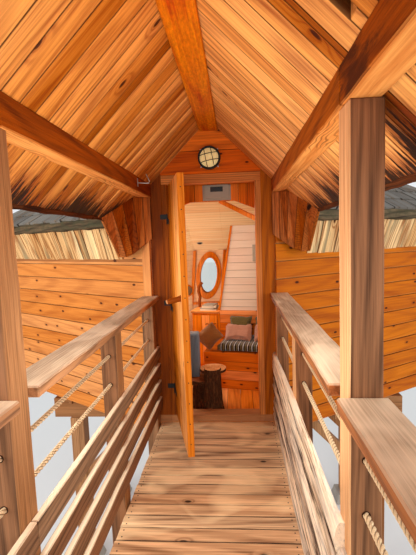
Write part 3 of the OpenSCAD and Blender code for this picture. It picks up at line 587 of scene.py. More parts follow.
def inner_face_and_painted_sun(f, place, colour):
    """Post faces that look into the walkway are unweathered wood, with painted shade brown on the left
    and painted sunlight orange on the right.
    """
    inward = f.spread(f.times(f.facing(0), f.math("SIGN", f.at(0))), -0.3, -0.8)
    fibre = f.spread(f.noise(place, (3, 170, 170), 3.0, 0.6), 0.3, 0.7)
    inner_wood_and_light = f.mix(f.math("GREATER_THAN", f.at(0), 0.0), f.mix(fibre, (192, 136, 86), (124, 80, 46)),
        f.mix(fibre, (255, 200, 142), (204, 138, 84)))
    return f.mix(f.times(inward, 0.85), colour, inner_wood_and_light)


def rough_sawn(f, place, colour):
    """The saw left the timber rough, so its tone is speckled."""
    specks = f.noise(place, (26, 80, 80), 4.0, 0.72)
    return f.toned(colour, f.spread(specks, 0.36, 0.64, 0.72, 1.14))


def lining_joints(f, place, colour):
    """Level joints between the boards of the wall lining."""
    share = f.math("FRACT", f.math("DIVIDE", f.at(2), 0.09))
    edge = f.math("MINIMUM", share, f.minus(1.0, share))
    return f.mix(f.spread(edge, 0.008, 0.03, 0.35, 0.0), colour, (70, 46, 30))


def lit_edge(f, place, colour):
    """The rounded lower edges of the boards, which face down, get a pale painted highlight."""
    return f.mix(f.spread(f.facing(2, 3), -0.25, -0.6, 0.0, 0.30), colour, (240, 170, 96))


def low_sill(f, place, colour):
    """The sill of the door frame is walked on, so it is as brown and worn as the deck."""
    scuffs = f.mix(f.noise(f.at(), (6, 120, 60), 3.0, 0.6), (196, 132, 82), (122, 78, 46))
    return f.mix(f.math("LESS_THAN", f.at(2), PLACE.z + 0.062), colour, scuffs)


def moss(f, place, colour):
    """Moss and lichen on the north side of old wood."""
    patch = f.spread(f.noise(place, (9, 22, 22), 4.0, 0.7), 0.42, 0.62)
    green = f.mix(f.noise(place, (90, 90, 90), 3.0), (86, 82, 56), (36, 34, 26))
    return f.mix(f.times(patch, 0.8), colour, green)


def bark():
    """Dark, furrowed bark."""
    f = Finish("dark_bark", 0.9)
    place = f.own("grain")
    bent = f.scaled(f.noise(place, (16, 16, 16), 3.0, out=1), 1.6, 1.6, 1.6)
    plates = f.node("TexVoronoi", {"Vector": f.vector("ADD", f.scaled(place, 9, 42, 42), bent),
        "Scale": 1.0}, feature="DISTANCE_TO_EDGE")
    ridge = f.plus(f.spread(plates, 0.0, 0.4, 0.0, 0.7),
        f.times(f.noise(place, (40, 140, 140), 4.0, 0.65), 0.8))
    return f.done(f.mix(f.spread(ridge, 0.2, 1.4), (40, 20, 10), (112, 68, 36)), ridge, 0.006)


def cloth(name, main, thread):
    """Woven cover: crossing threads, soft creases of tone and a dusty sheen."""
    f = Finish(name, 0.9)
    f.set({"Sheen Weight": 0.25})
    place, thread_step = f.own("grain"), math.tau / 1800
    knit = f.times(*(f.wave(f.part(place, i), thread_step) for i in (0, 2)))
    slub = f.noise(place, (14, 14, 160), 3.0, 0.6)
    cloud = f.noise(place, (9, 9, 9), 3.0, 0.6)
    tone = f.plus(f.spread(slub, 0.3, 0.7, -0.10, 0.10), f.spread(cloud, 0.3, 0.7, 0.88, 1.10))
    colour = f.mix(f.spread(knit, -1.0, 1.0, 0.0, 0.5), main, thread)
    return f.done(f.toned(colour, tone), f.plus(knit, f.times(slub, 2.0)), 0.0006)


def stripes():
    """The seat cover: dark, olive and cream stripes from front to back."""
    f = Finish("striped_cover", 0.92)
    f.set({"Sheen Weight": 0.3})
    place = f.own("grain")
    bent = f.vector("ADD", place, f.scaled(f.noise(place, (18, 18, 18), 2.0, out=1), 0.008, 0, 0))
    band = f.node("ValToRGB", {0: f.math("FRACT", f.math("DIVIDE", f.part(bent, 0), 0.046))})
    ramp = band.node.color_ramp
    ramp.interpolation = "EASE"
    for where, colour in ((0.0, (34, 26, 18)), (0.34, (44, 32, 20)), (0.42, (106, 86, 52)),
            (0.5, (112, 92, 58)), (0.58, (78, 64, 32)), (0.86, (64, 52, 26))):
        ramp.elements.new(where).color = screen(*colour)
    slub = f.noise(place, (600, 90, 90), 3.0, 0.6)
    return f.done(f.toned(band, f.spread(slub, 0.3, 0.7, 0.75, 1.2)), slub, 0.0012)


def clear_glass():
    f = Finish("window_glass", 0.04)
    f.set({"Base Color": (0.90, 0.96, 0.93, 1), "Transmission Weight": 1.0, "IOR": 1.45})
    return f.material


def lamp_glass():
    """Cream ribbed glass, a little lit."""
    f = Finish("ribbed_lamp_glass", 0.25)
    f.set({"Emission Color": (255, 222, 150), "Emission Strength": 0.30})
    rib = f.wave(f.at(0), 0.011)
    return f.done(f.mix(f.spread(rib, -1.0, 1.0), (250, 228, 170), (226, 190, 122)), rib, 0.002)


def rope():
    """Laid fibre rope: the tone of its points says how deep they lie between the strands, where shade is
    painted.
    """
    f = Finish("twisted_rope", 0.85)
    place = f.own("grain")
    yarn, hair = f.noise(place, (160, 900, 900), 3.0, 0.6), f.noise(place, (24, 1600, 1600), 2.0, 0.6)
    colour = f.mix(f.spread(yarn, 0.3, 0.7), (252, 228, 186), (214, 170, 118))
    colour = f.mix(f.spread(f.own("tone", 2), 0.0, 0.6, 0.9, 0.0), colour, (96, 58, 30))
    return f.done(colour, f.plus(yarn, f.times(hair, 0.5)), 0.0012)


FEW, SOME, MANY, NO_KNOTS = (4.5, 0.10, 0.06), (5.5, 0.22, 0.07), (10.0, 0.22, 0.085), (3.0, 0.0, 0.05)

FINISH = {
    "roof": wood("roof_boards", (255, 176, 84), (160, 80, 26), 0.66, 0.011, FEW,
        tones=(0.36, 1.08), hues=(0.476, 0.503), extra=eave_stain, relief=0.0014, joint=0.8),
    "beam": wood("plate_timber", (184, 104, 42), (108, 54, 18), 0.7, 0.008, FEW, rough=0.85,
        relief=0.002, joint=0, squared=True, extra=black_stain),
    "ridge": wood("ridge_timber", (255, 160, 58), (204, 88, 22), 0.7, 0.014, FEW,
        relief=0.002, joint=0, squared=True, extra=rough_sawn),
    "burnt": wood("eave_strip", (104, 56, 26), (44, 22, 10), 0.8, 0.010, NO_KNOTS, rough=0.9,
        relief=0.004, joint=0),
    "post": wood("post_timber", (154, 108, 74), (82, 54, 34), 0.75, 0.013, SOME,
        tones=(0.88, 1.08), extra=inner_face_and_painted_sun, relief=0.002, joint=0, squared=True),
    "cap": wood("handrail_cap", (176, 118, 74), (100, 62, 38), 0.75, 0.009, FEW,
        tones=(0.9, 1.05), extra=weathered_top_and_painted_sun, relief=0.0022, joint=0, squared=True),
    "rail": wood("rail_boards", (156, 116, 84), (84, 58, 40), 0.75, 0.009, FEW,
        tones=(0.88, 1.08), extra=painted_top_highlight, relief=0.0022, joint=0, squared=True),
    "deck": wood("deck_boards", (228, 184, 138), (108, 72, 46), 0.72, 0.012, SOME, grey=(200, 156, 114),
        grey_share=0.30, tones=(0.85, 1.1), relief=0.002, joint=0.9, extra=painted_sun_patches),
    "slab": wood("rough_slab", (255, 226, 188), (146, 108, 80), 0.9, 0.013, FEW, grey=(222, 202, 180),
        grey_share=0.45, rough=0.8, relief=0.004, joint=0, extra=painted_hollow_shade),
    # A dark disc where a rope goes into a post: painted shade of its hole.
    "bore": plain("bore_mouth", (58, 34, 20), 0.95, speckle=0.05),
    "rope": rope(),
    "gable": wood("gable_boards", (244, 124, 20), (150, 60, 4), 0.55, 0.014, MANY, relief=0.001),
    "door": wood("door_boards", (255, 166, 72), (184, 92, 30), 0.6, 0.012, SOME,
        tones=(0.42, 1.20), hues=(0.484, 0.504), relief=0.001),
    "frame": wood("frame_timber", (214, 120, 36), (118, 54, 10), 0.6, 0.012, SOME,
        tones=(0.48, 1.50), relief=0.001, joint=0.3, squared=True, extra=low_sill),
    "window": wood("window_frame", (240, 138, 50), (170, 84, 22), 0.6, 0.012, FEW, grain="Z",
        relief=0.001),
    "lining": wood("wall_lining", (252, 216, 170), (226, 178, 128), 0.4, 0.010, FEW, grain="X",
        relief=0.0008, extra=lining_joints),
    "floor": wood("floor_boards", (240, 156, 88), (172, 96, 46), 0.55, 0.012, FEW,
        tones=(0.85, 1.1), rough=0.4, relief=0.001, joint=0.6),
    "mossy": wood("mossy_edge", (112, 92, 68), (46, 36, 26), 0.9, 0.010, NO_KNOTS, rough=0.9,
        relief=0.005, extra=moss),
    "branch": wood("peeled_branch", (172, 104, 58), (98, 50, 24), 0.6, 0.006, FEW, relief=0.0015,
        joint=0),
    "cut_wood": wood("sawn_end", (232, 186, 136), (176, 116, 70), 0.9, 0.007, NO_KNOTS,
        tones=(1.0, 1.0), relief=0.0008, joint=0),
    "live_slab": wood("live_edge_slab", (150, 88, 48), (84, 44, 22), 0.7, 0.010, FEW, joint=0),
    "bark": bark(),
    "stripes": stripes(),
    "brown_cloth": cloth("brown_cover", (148, 92, 40), (98, 58, 22)),
    "olive_cloth": cloth("olive_cover", (104, 86, 38), (66, 54, 22)),
    "pink_cloth": cloth("pink_cover", (190, 134, 108), (150, 98, 74)),
    "paper": plain("book_covers", (224, 206, 180), 0.7, speckle=0.06),
    "glass": clear_glass(),
    "lamp_glass": lamp_glass(),
    "siding": wood("lap_siding", (222, 138, 66), (156, 76, 24), 0.50, 0.012, (9.0, 0.34, 0.11),
        tones=(0.70, 1.02), extra=lit_edge),
    "cheek": wood("cheek_boards", (180, 96, 34), (80, 34, 8), 0.66, 0.009, SOME,
        tones=(0.62, 1.40), relief=0.0016, joint=0.55),
    "band": wood("band_boards", (250, 206, 146), (150, 92, 46), 0.95, 0.012, SOME,
        grey=(176, 150, 108), grey_share=0.25, tones=(0.75, 1.1), rough=0.8, relief=0.004, joint=0.7),
    "shake": wood("split_shakes", (134, 116, 98), (66, 54, 44), 0.9, 0.008, NO_KNOTS,
        grey=(132, 126, 118), grey_share=0.6, tones=(0.7, 1.15), rough=0.85, relief=0.003),
    "pale": wood("pale_boards", (255, 224, 168), (234, 182, 122), 0.4, 0.010, NO_KNOTS,
        tones=(0.95, 1.03), relief=0.0008, joint=0.3),
    "white": wood("white_planks", (226, 206, 184), (206, 180, 154), 0.35, 0.012, NO_KNOTS,
        tones=(0.97, 1.03), rough=0.5, relief=0.0006, joint=0.35),
    "joinery": wood("orange_joinery", (238, 138, 66), (168, 80, 28), 0.5, 0.012, (12.0, 0.50, 0.12),
        relief=0.001, joint=0.35),
    "cabinet": wood("cabinet_boards", (250, 152, 62), (192, 98, 30), 0.5, 0.012, SOME, relief=0.001),
    "mirror": plain("mirror_glass", (214, 214, 204), 0.08, 0.9, speckle=0.02, relief=0.0),
    "iron": plain("black_iron", (30, 29, 28), 0.45, 0.6),
    "steel": plain("bright_steel", (176, 176, 172), 0.32, 0.9, speckle=0.05),
    "stone": plain("cast_block", (168, 162, 152), 0.9, relief=0.002, size=60),
    "grey_paint": plain("grey_paint", (166, 156, 138), 0.45, speckle=0.04),
    "enamel": plain("heater_enamel", (122, 134, 144), 0.38, speckle=0.05),
}
for made_for, along_axis in (("bearer", "X"), ("walk_beam", "Y"), ("stilt", "Z")):
    FINISH[made_for] = wood(made_for + "_timber", (176, 126, 84), (104, 68, 40), 0.6, 0.014, SOME,
        grain=along_axis, relief=0.002)


# ---- Walkway

def deck():
    rng = random.Random(3)
    boards, screws = blank(), blank()
    gap, half, screw_x, screw_in = 0.0035, 0.487, 0.455, 0.022
    count = int(-WALK_END / 0.0975) + 1
    pitch = -WALK_END / count
    for i in range(count):
        y1 = -i * pitch - gap / 2
        y0 = y1 - pitch + gap
        left, right = -half + rng.uniform(0, 0.006), half - rng.uniform(0, 0.006)
        block(boards, (left, y0, -0.038), (right, y1, -rng.uniform(0, 0.0012)), rng, edge=0.0035,
            cuts=6, rough=0.0012)
        for x in (-screw_x, screw_x):
            for y in (y0 + screw_in, y1 - screw_in):
                disc(screws, (x + rng.uniform(-0.004, 0.004), y, 0.0002), 0.0042, 0.0036, 0.0015, 8)
    piece("deck_boards", boards, "deck", "deck_timber", "walkway_deck")
    piece("deck_screws", screws, "iron", "black_iron")


def handrails():
    rng = random.Random(5)
    caps = blank()
    inner, outer, low, high = 0.459, 0.603, 1.055, 1.095
    for side in (-1, 1):
        x0, x1 = sorted((inner * side, outer * side))
        for far, near in SPANS:
            y1 = near - POST_D / 2 if near else -0.001
            block(caps, (x0, far + POST_D / 2, low), (x1, y1, high), rng, grain="Y", edge=0.005,
                cuts=16, rough=0.0025)
    piece("handrail_caps", caps, "cap", "cap_timber", "handrails")


def rail_planks():
    rng = random.Random(8)
    planks = blank()
    for far, near in BOARD_SPANS:
        for i in range(4):
            top = BOARD_TOP - i * BOARD_PITCH
            block(planks, (-POST_IN, far, top - BOARD_H), (-POST_IN + BOARD_T, near - APART, top), rng,
                grain="Y", edge=0.004, cuts=14, rough=0.003)
    piece("left_rail_planks", planks, "rail", "cap_timber", "rail_boards_left")


def slab_line(i, u):
    """Height of the wavy line between two rough slabs, at a share of their length."""
    waves = ((8, 500, 70), (4, 1300, 40))
    rise = sum(high * math.sin(math.radians(fast * u + shift * i)) for high, fast, shift in waves)
    return (22 + i * (196 + 26 * u) + (rise if i else 0)) / 1000


def rough_slabs():
    rng = random.Random(11)
    slabs = blank()
    for far, near in BOARD_SPANS:
        y0 = near - APART
        for i in range(3):
            bm = blank()
            bmesh.ops.create_cube(bm, size=2.0)
            divide(bm, Y, 70)
            divide(bm, Z, 14)
            seed = rng.uniform(0, 90)
            depths = {}
            for v in bm.verts:
                u, t, inner = (1 - v.co.y) / 2, (v.co.z + 1) / 2, v.co.x < 0
                low, high = slab_line(i, u), slab_line(i + 1, u) - 0.007
                y, z = y0 + (far - y0) * u, low + (high - low) * t
                furrow = noise.noise(Vector((seed, y * 1.6, z * 26))) * 0.9 \
                    + noise.noise(Vector((seed + 9, y * 4, z * 70))) * 0.5
                # How deep a point lies in a furrow, and how near the upper edge: the slab finish paints
                # shade in the furrows from it.
                depths[v] = furrow + 0.35 * t ** 6
                round_edge = 1 - abs(2 * t - 1) ** 6
                thick = 0.026 * (0.62 + 0.38 * round_edge) + 0.009 * furrow * round_edge
                wave = 0.004 * noise.noise(Vector((seed, y * 9, t)))
                v.co = Vector((POST_IN - (thick if inner else 0), y, z + wave))
            bmesh.ops.recalc_face_normals(bm, faces=bm.faces)
            grain_by(bm, rng, Y, Z)
            board = layer(bm, "board")
            for v, depth in depths.items():
                v[board] = Vector((v[board].x, v[board].y, depth))
            pour(slabs, bm)
    piece("right_rail_slabs", slabs, "slab", "grey_slab", "rail_slabs_right", smooth=40)


def laid_rope():
    """A rope of three strands that runs out along the walkway."""
    radius, strands, lay, steps = 0.0099, 3, 0.062, 8
    length = -WALK_END + 0.03
    bm = blank()
    bmesh.ops.create_circle(bm, segments=24, radius=1.0)
    grain, tone = layer(bm, "grain"), layer(bm, "tone")
    for v in bm.verts:
        angle = math.atan2(v.co.y, v.co.x)
        lobe = abs(math.cos(angle * strands / 2))
        v.co = Vector((math.cos(angle), 0, math.sin(angle))) * radius * (0.66 + 0.34 * lobe ** 0.8)
        # The tone says how deep a point lies between the strands; the rope finish paints shade there.
        v[tone] = lobe
    count = int(length / lay * steps)
    bmesh.ops.spin(bm, geom=bm.edges[:], cent=(0, 0, 0), axis=Y, dvec=(0, -length / count, 0),
        angle=-math.tau * count / steps, steps=count, use_merge=False)
    for v in bm.verts:
        twist = math.atan2(v.co.z, v.co.x) - v.co.y / lay * math.tau
        v[grain] = Vector((v.co.y, math.cos(twist) * radius, math.sin(twist) * radius))
    bmesh.ops.recalc_face_normals(bm, faces=bm.faces)
    return bm


def end_knot():
    bm = blank()
    bmesh.ops.create_uvsphere(bm, u_segments=20, v_segments=12, radius=0.022)
    grain, tone = layer(bm, "grain"), layer(bm, "tone")
    for v in bm.verts:
        v.co.y *= 1.02
        v.co *= 1 + 0.10 * math.sin(3 * math.atan2(v.co.z, v.co.x) + v.co.y * 160)
        v[tone] = 0.8
        v[grain] = v.co
    return bm


def ropes():
    """Ropes pulled tight from the cabin to the last post, each with an end knot."""
    made, mouths = blank(), blank()
    for side in (-1, 1):
        for z in ROPE_HEIGHTS:
            for bm, y in ((laid_rope(), 0), (end_knot(), WALK_END - 0.0225)):
                bmesh.ops.translate(bm, verts=bm.verts, vec=(side * POST_X, y, z))
                pour(made, bm)
            for k in range(BAYS + 1):
                middle = -k * BAY if k else -POST_D / 2
                for end in (-1, 1):
                    # Dark discs at the post faces stand for the shaded holes round the rope: painted
                    # shade.
                    disc(mouths, (side * POST_X, middle + end * (POST_D / 2 + 0.0005), z), 0.0128,
                        0.0124, 0.0016, 20, turning(90 * end, "X"))
    piece("rail_rope_strands", made, "rope", "rope", "rail_ropes", smooth=60)
    piece("rope_bore_mouths", mouths, "bore", "dark_timber")


def posts():
    rng = random.Random(9)
    timbers = blank()
    for node in ("tall_posts", "rail_posts"):
        for part in parts_of(solid_of(node)):
            low, high = zip(*(reach(part, way) for way in (X, Y, Z)))
            part.free()
            block(timbers, low, high, rng, grain="Z", edge=0.0035, cuts=24, rough=0.002)
    piece("post_timbers", timbers, "post", "dark_timber", "tall_posts", "rail_posts")


def roof_timbers():
    """The two plates, butt jointed over the middle posts, and the ridge beam."""
    rng = random.Random(12)
    plates, ridge = blank(), blank()
    joint, gap = MIDDLE_POST + 0.004, 0.003
    for part in parts_of(solid_of("roof_plates")):
        for end in (-1, 1):
            half = part.copy()
            cut_off(half, Y * (joint - end * gap / 2), Y * end)
            add_board(plates, half, rng, Y, Z, 0.004, cuts=24, rough=0.0025, lump=0.16)
        part.free()
    piece("plate_timbers", plates, "beam", "dark_timber", "roof_plates")
    boards_of(ridge, "ridge_beam", rng, 0.005)
    piece("ridge_timber", ridge, "ridge", "dark_timber", "ridge_beam")


def eave_ends(bm, rng):
    """The feet of the roof boards are trimmed nearly in line."""
    short = rng.uniform(0, 0.004)
    for v in bm.verts:
        if abs(v.co.x) > 0.70:
            pull = short + 0.002 * noise.noise(v.co * 40)
            v.co += Vector((-math.copysign(pull, v.co.x), 0, pull))


# Where the boards near the camera part, which of them are dark (y, tone), and the line where the
# short board begins
ROOF_LINES = {
    -1: [-1.943, -1.844, -1.745, -1.642, -1.541, -1.426, -1.361, -1.250, -1.141, -1.061, -0.952],
    1: [-2.360, -2.297, -2.249, -2.144, -2.112, -2.049, -1.954, -1.853, -1.734, -1.630, -1.513]}
DARK_BOARDS = {-1: [(-1.40, 0.02)], 1: [(-2.13, 0.0), (-2.08, 0.30), (-2.33, 0.45)]}
SHORT_BOARD = -2.297


def roof_joints(side, rng):
    """The lines between the boards of one slope, from the open end to the cabin."""
    lines = list(ROOF_LINES[side])
    while lines[0] > FRONT_END + 0.12:
        lines.insert(0, lines[0] - rng.uniform(0.094, 0.108))
    while lines[-1] < 3.0:
        lines.append(lines[-1] + rng.uniform(0.092, 0.110))
    return lines


def walkway_roof():
    for side, name in ((-1, "left"), (1, "right")):
        rng = random.Random(20 + side)
        boards, whole = blank(), solid_of("walkway_roof_" + name)
        up = Vector((-side, 0, 1)).normalized()
        low, high = reach(whole, Y)
        lines = [y for y in roof_joints(side, rng) if low + 0.03 < y < high - 0.03]
        for y0, y1 in zip([low] + lines, lines + [high]):
            bm = whole.copy()
            cut_off(bm, Y * (y0 + 0.001), -Y)
            cut_off(bm, Y * (y1 - 0.001), Y)
            if side > 0 and y0 == SHORT_BOARD:
                cut_off(bm, X * 0.462, -X)
            eave_ends(bm, rng)
            dark = [tone for y, tone in DARK_BOARDS[side] if abs(y - (y0 + y1) / 2) < 0.02]
            usual = rng.uniform(0.28, 0.80) if side < 0 else min(1.0, rng.uniform(0.65, 1.05))
            add_board(boards, bm, rng, up, Y, 0.0015, dark[0] if dark else usual)
        whole.free()
        piece("roof_boards_" + name, boards, "roof", "roof_boards", "walkway_roof_" + name)


def eave_strips():
    """A thin dark starter strip shows along the eaves under the first course of shakes."""
    rng = random.Random(33)
    strips = blank()
    x, z = EAVE_X - 0.010, APEX - EAVE_X + 0.010
    section = [(x, z - 0.002), (x + 0.022, z - 0.026), (x + 0.036, z - 0.014), (x + 0.014, z + 0.012)]
    for side in (-1, 1):
        y = FRONT_END - 0.005
        while y < 0.55:
            y1 = y + rng.uniform(0.5, 0.9)
            foot, head = ([(side * a, b, c) for a, c in section] for b in (y, y1 - 0.002))
            plank(strips, foot, head, rng, edge=0.002, cuts=20, rough=0.006)
            y = y1
    piece("eave_strips", strips, "burnt", "dark_timber")


def shake_course(into, rng, start, along, up, normal, length, planes_at):
    """One row of split shakes: start is its lower left corner, along runs level, up the slope.
    planes_at gives the planes that cut the shake at a place, or None where there is no shake."""
    at = rng.uniform(-0.05, 0.0)
    while at < length:
        width = rng.uniform(0.09, 0.19)
        middle = start + along * (at + width / 2) + up * 0.12
        planes = planes_at(middle)
        if planes is not None:
            low = start + along * at + up * rng.uniform(-0.012, 0.008)
            butt = normal * (0.012 + rng.uniform(0.012, 0.019))
            skew, wide = up * rng.uniform(-0.006, 0.006), along * (width - 0.004)
            right, top, under, thin = low + wide + skew, up * 0.40, normal * 0.002, normal * 0.004
            foot = [low + under, right + under, right + butt, low + butt]
            head = [low + top - normal * 0.0005, low + wide + top - normal * 0.0005,
                low + wide + top + thin, low + top + thin]
            met = [(p, n) for p, n in planes if any((c - p).dot(n) > 0 for c in foot + head)]
            plank(into, foot, head, rng, edge=0, planes=met)
        at += width


def valley(x):
    """How far back the walkway roof meets the cabin roof, at a distance from its middle."""
    return (CREST - x - EAVE_TOP) / CABIN_SLOPE - ROOF_OUT


def walkway_shakes():
    rng = random.Random(31)
    shakes = blank()
    for side in (-1, 1):
        up, normal = (Vector((x, 0, 1)).normalized() for x in (-side, side))
        crest_cut = (Vector(), X * -side)

        def crest_and_valley(p):
            if p.y < 0:
                return [crest_cut]
            _, foot, above = roof_over(p.x, p.y)
            return [crest_cut, (foot - Z * 0.045, -above)]
        for row in range(int(EAVE_X * math.sqrt(2) / SHAKE_SHOWN) + 1):
            x = EAVE_X + 0.012 - row * SHAKE_SHOWN / math.sqrt(2)
            start = Vector((side * x, FRONT_END - 0.01, CREST - x))
            shake_course(shakes, rng, start, Y, up, normal, valley(x) + 0.34 - FRONT_END,
                crest_and_valley)
    piece("walkway_shakes", shakes, "shake", "shakes")


# ---- Cabin walls

def plan(d):
    """Corner points of the cabin, set out by d from the walls, from the right of the door round."""
    front, side = (d * math.tan(math.radians(degrees / 2)) for degrees in (33, 57))
    right = [(HALF_FRONT + front, -d), (HALF_CABIN + d, SLANT_Y - side),
        (HALF_CABIN + d, SLANT_Y + SIDE + side), (HALF_FRONT + front, CABIN_D + d)]
    return right + [(-x, y) for x, y in reversed(right)]


def corner(i, d, z):
    x, y = plan(d)[i % 8]
    return Vector((x, y, z))


def between(a, b, u):
    return a + (b - a) * u


def on_wall(i, j, u, d, z):
    """A point at a share of the way from corner i to corner j, set out by d from the wall."""
    return between(corner(i, d, z), corner(j, d, z), u)


def mitred(i, outline):
    """A board's outline of distances out and heights, at both corners of wall i."""
    return ([corner(j, d, z) for d, z in outline] for j in (i, i + 1))


def siding():
    """Level boards whose lower edges are rounded over a shadow line, mitred at the corners."""
    rng = random.Random(41)
    boards = blank()
    face, bevel = 0.018, 0.011
    for i in (0, 1, 2, 4, 5, 6):
        along = (corner(i + 1, 0, 0) - corner(i, 0, 0)).normalized()
        for k in range(2 if i in (0, 6) else 0, -11, -1):
            z = SIDING_LINE + SIDING_PITCH * k
            low, high = z + SHADOW, min(z + SIDING_PITCH, ROOF_LOW - 0.01)
            foot, head = mitred(i, [(0, low), (face - bevel, low),
                (face - bevel * 0.35, low + bevel * 0.45), (face, low + bevel * 1.2), (face, high),
                (0, high)])
            # Boards of the slanted wall right of the entry get darker tones: painted shade.
            tone = rng.uniform(0.0, 0.30) if i == 0 else rng.uniform(0.40, 1.0)
            bm = blank()
            for v in drawn(bm, [bm.faces.new([bm.verts.new(p) for p in foot])]):
                v.co = head[min(range(len(foot)), key=lambda n: (v.co - foot[n]).length)]
            add_board(boards, bm, rng, along, Z, tone=tone, cuts=10, rough=0.0016, lump=0.3)
    piece("lap_siding", boards, "siding", "orange_pine")


def window_siding():
    """The back wall's boards, cut out round the two oval frames."""
    rng = random.Random(42)
    boards = blank()
    ovals = [(Matrix.Translation((s * 0.2575, 0, 0.965)) @ turning(7.5, "Y")).inverted()
        for s in (-1, 1)]
    half_wide, half_high, face, rounded = 0.190, 0.375, 0.017, 0.012

    def in_oval(v, oval):
        p = oval @ Vector((v.co.x, 0, v.co.z))
        return (p.x / half_wide) ** 2 + (p.z / half_high) ** 2 < 1
    for k in range(10):
        low = SIDING_LINE - SIDING_PITCH * k + SHADOW
        high = min(low + SIDING_PITCH - SHADOW, SIDING_TOP - 0.002)
        bm = blank()
        bmesh.ops.create_grid(bm, x_segments=100, y_segments=14, size=0.5)
        for v in bm.verts:
            v.co = Vector((v.co.x * 2 * HALF_FRONT, CABIN_D, low + (v.co.y + 0.5) * (high - low)))
        for oval in ovals:
            gone = [f for f in bm.faces if sum(in_oval(v, oval) for v in f.verts) > 2]
            bmesh.ops.delete(bm, geom=gone, context="FACES")
        for v in drawn(bm, bm.faces[:]):
            v.co.y += face
        for v in bm.verts:
            if v.co.z - low < rounded and v.co.y > CABIN_D + 0.001:
                v.co.y -= 0.010
        add_board(boards, bm, rng, X, Z)
    piece("window_siding", boards, "siding", "orange_pine")


def wall_trim():
    """On the left: a corner board beside the entry and a level board under the flared band."""
    rng = random.Random(44)
    boards = blank()
    u = 0.092 / (corner(6, 0, 0) - corner(7, 0, 0)).length
    section = ((0.0, 0.0), (u, 0.0), (u, 0.027), (0.0, 0.027))
    foot, head = ([on_wall(7, 6, s, d, z) for s, d in section] for z in (-0.03, 1.66))
    plank(boards, foot, head, rng, edge=0.002, cuts=8, tone=0.95)
    outline = [(0.0, 1.374), (0.026, 1.374), (0.026, 1.402), (0.0, 1.402)]
    for i in (4, 5, 6):
        plank(boards, *mitred(i, outline), rng, edge=0.002, cuts=8, tone=0.9)
    piece("wall_trim", boards, "siding", "orange_pine")


def band():
    rng = random.Random(43)
    boards = blank()
    for i in range(7):
        run = (corner(i + 1, 0, 0) - corner(i, 0, 0)).length
        at = 0.0
        while at < run:
            width = min(rng.uniform(0.075, 0.17), run - at)
            if run - at - width < 0.05:
                width = run - at
            u0, u1 = at / run + 0.001, (at + width) / run - 0.0016
            at += width
            rise, fall = rng.uniform(-0.012, 0.004), rng.uniform(0, 0.006)
            thick = BAND_T + rng.uniform(-0.002, 0.007)
            section = ((u0, 0), (u1, 0), (u1, thick), (u0, thick))
            foot, head = ([on_wall(i, i + 1, u, lean + d, z) for u, d in section]
                for z, lean in ((SIDING_TOP - fall, 0.0), (ROOF_LOW + rise, BAND_LEAN)))
            middle = between(foot[0], foot[1], 0.5)
            side = math.copysign(1, middle.x)
            by_entry = abs(middle.x) < 1.2 and middle.y < RIDGE_Y
            plank(boards, foot, head, rng, cuts=5, rough=0.004,
                planes=[(X * side * BAND_START, -X * side)] if by_entry else [])
    piece("band_boards", boards, "band", "grey_slab", "eave_band")


# ---- Cabin roof

def roof_faces():
    """The top faces of the cabin roof: the level edge first, from left to right as seen from
    outside, then the crest."""
    crests_at = {3: RIDGE, 7: RIDGE[::-1]}
    return [[corner(j, ROOF_OUT, EAVE_TOP) for j in (i, i + 1)]
        + crests_at.get(i, [RIDGE[1 if i < 3 else 0]]) for i in range(8)]


def roof_over(x, y):
    """Height of the cabin roof over a point, with a corner and the normal of the face that lies there:
    the one whose plane is lowest."""
    found = []
    for face in roof_faces():
        normal = (face[1] - face[0]).cross(face[2] - face[0]).normalized()
        height = face[0].z - (normal.x * (x - face[0].x) + normal.y * (y - face[0].y)) / normal.z
        found.append((height, face[0], normal))
    return min(found, key=lambda f: f[0])


def roof_height(x, y):
    return roof_over(x, y)[0]


def walkway_height(x, _):
    return CREST - abs(x)


def cabin_shakes():
    rng = random.Random(61)
    shakes = blank()
    for face in roof_faces():
        a, b, c = face[:3]
        along = (b - a).normalized()
        up = c - a - along * (c - a).dot(along)
        rise, up = up.length, up.normalized()
        planes = [(p, (q - p).cross(Z).normalized()) for p, q in zip(face[1:], face[2:] + face[:1])]
        if a.y < 0.6:
            planes.append((Y * 0.004, -Y))

        def shown(p):
            under_walkway_roof = abs(p.x) < EAVE_X + 0.03 and p.y < RIDGE_Y \
                and p.z < walkway_height(p.x, 0) - 0.05
            on_face = all((p - q).dot(n) < 0.16 for q, n in planes)
            return planes if on_face and not under_walkway_roof else None
        for row in range(int(rise / SHAKE_SHOWN) + 1):
            start = a + up * (row * SHAKE_SHOWN - 0.012)
            shake_course(shakes, rng, start, along, up, along.cross(up), (b - a).length, shown)
    piece("cabin_shakes", shakes, "shake", "shakes")


def crest_boards(into, p, q, height, rng):
    """Two boards that meet over a ridge or a hip and lie on the roof on either side."""
    wide, long = 0.105, 0.8
    level = Vector((q.x - p.x, q.y - p.y, 0)).normalized()
    count = max(1, round((q - p).length / long))
    for n in range(count):
        lift = 0.020 + 0.003 * (n % 2)
        ends = [between(p, q, (n + e) / count) + level * (0.015 if e else -0.015) for e in (0, 1)]
        for side in (-1, 1):
            out = level.cross(Z) * side * wide
            corners = []
            for e in ends:
                low = Vector((e.x + out.x, e.y + out.y, height(e.x + out.x, e.y + out.y) + lift))
                top = Vector((e.x, e.y, height(e.x, e.y) + lift + 0.008))
                corners.append([top, low, low + Z * 0.018, top + Z * 0.020])
            plank(into, *corners, rng, edge=0.002, cuts=5, rough=0.004)


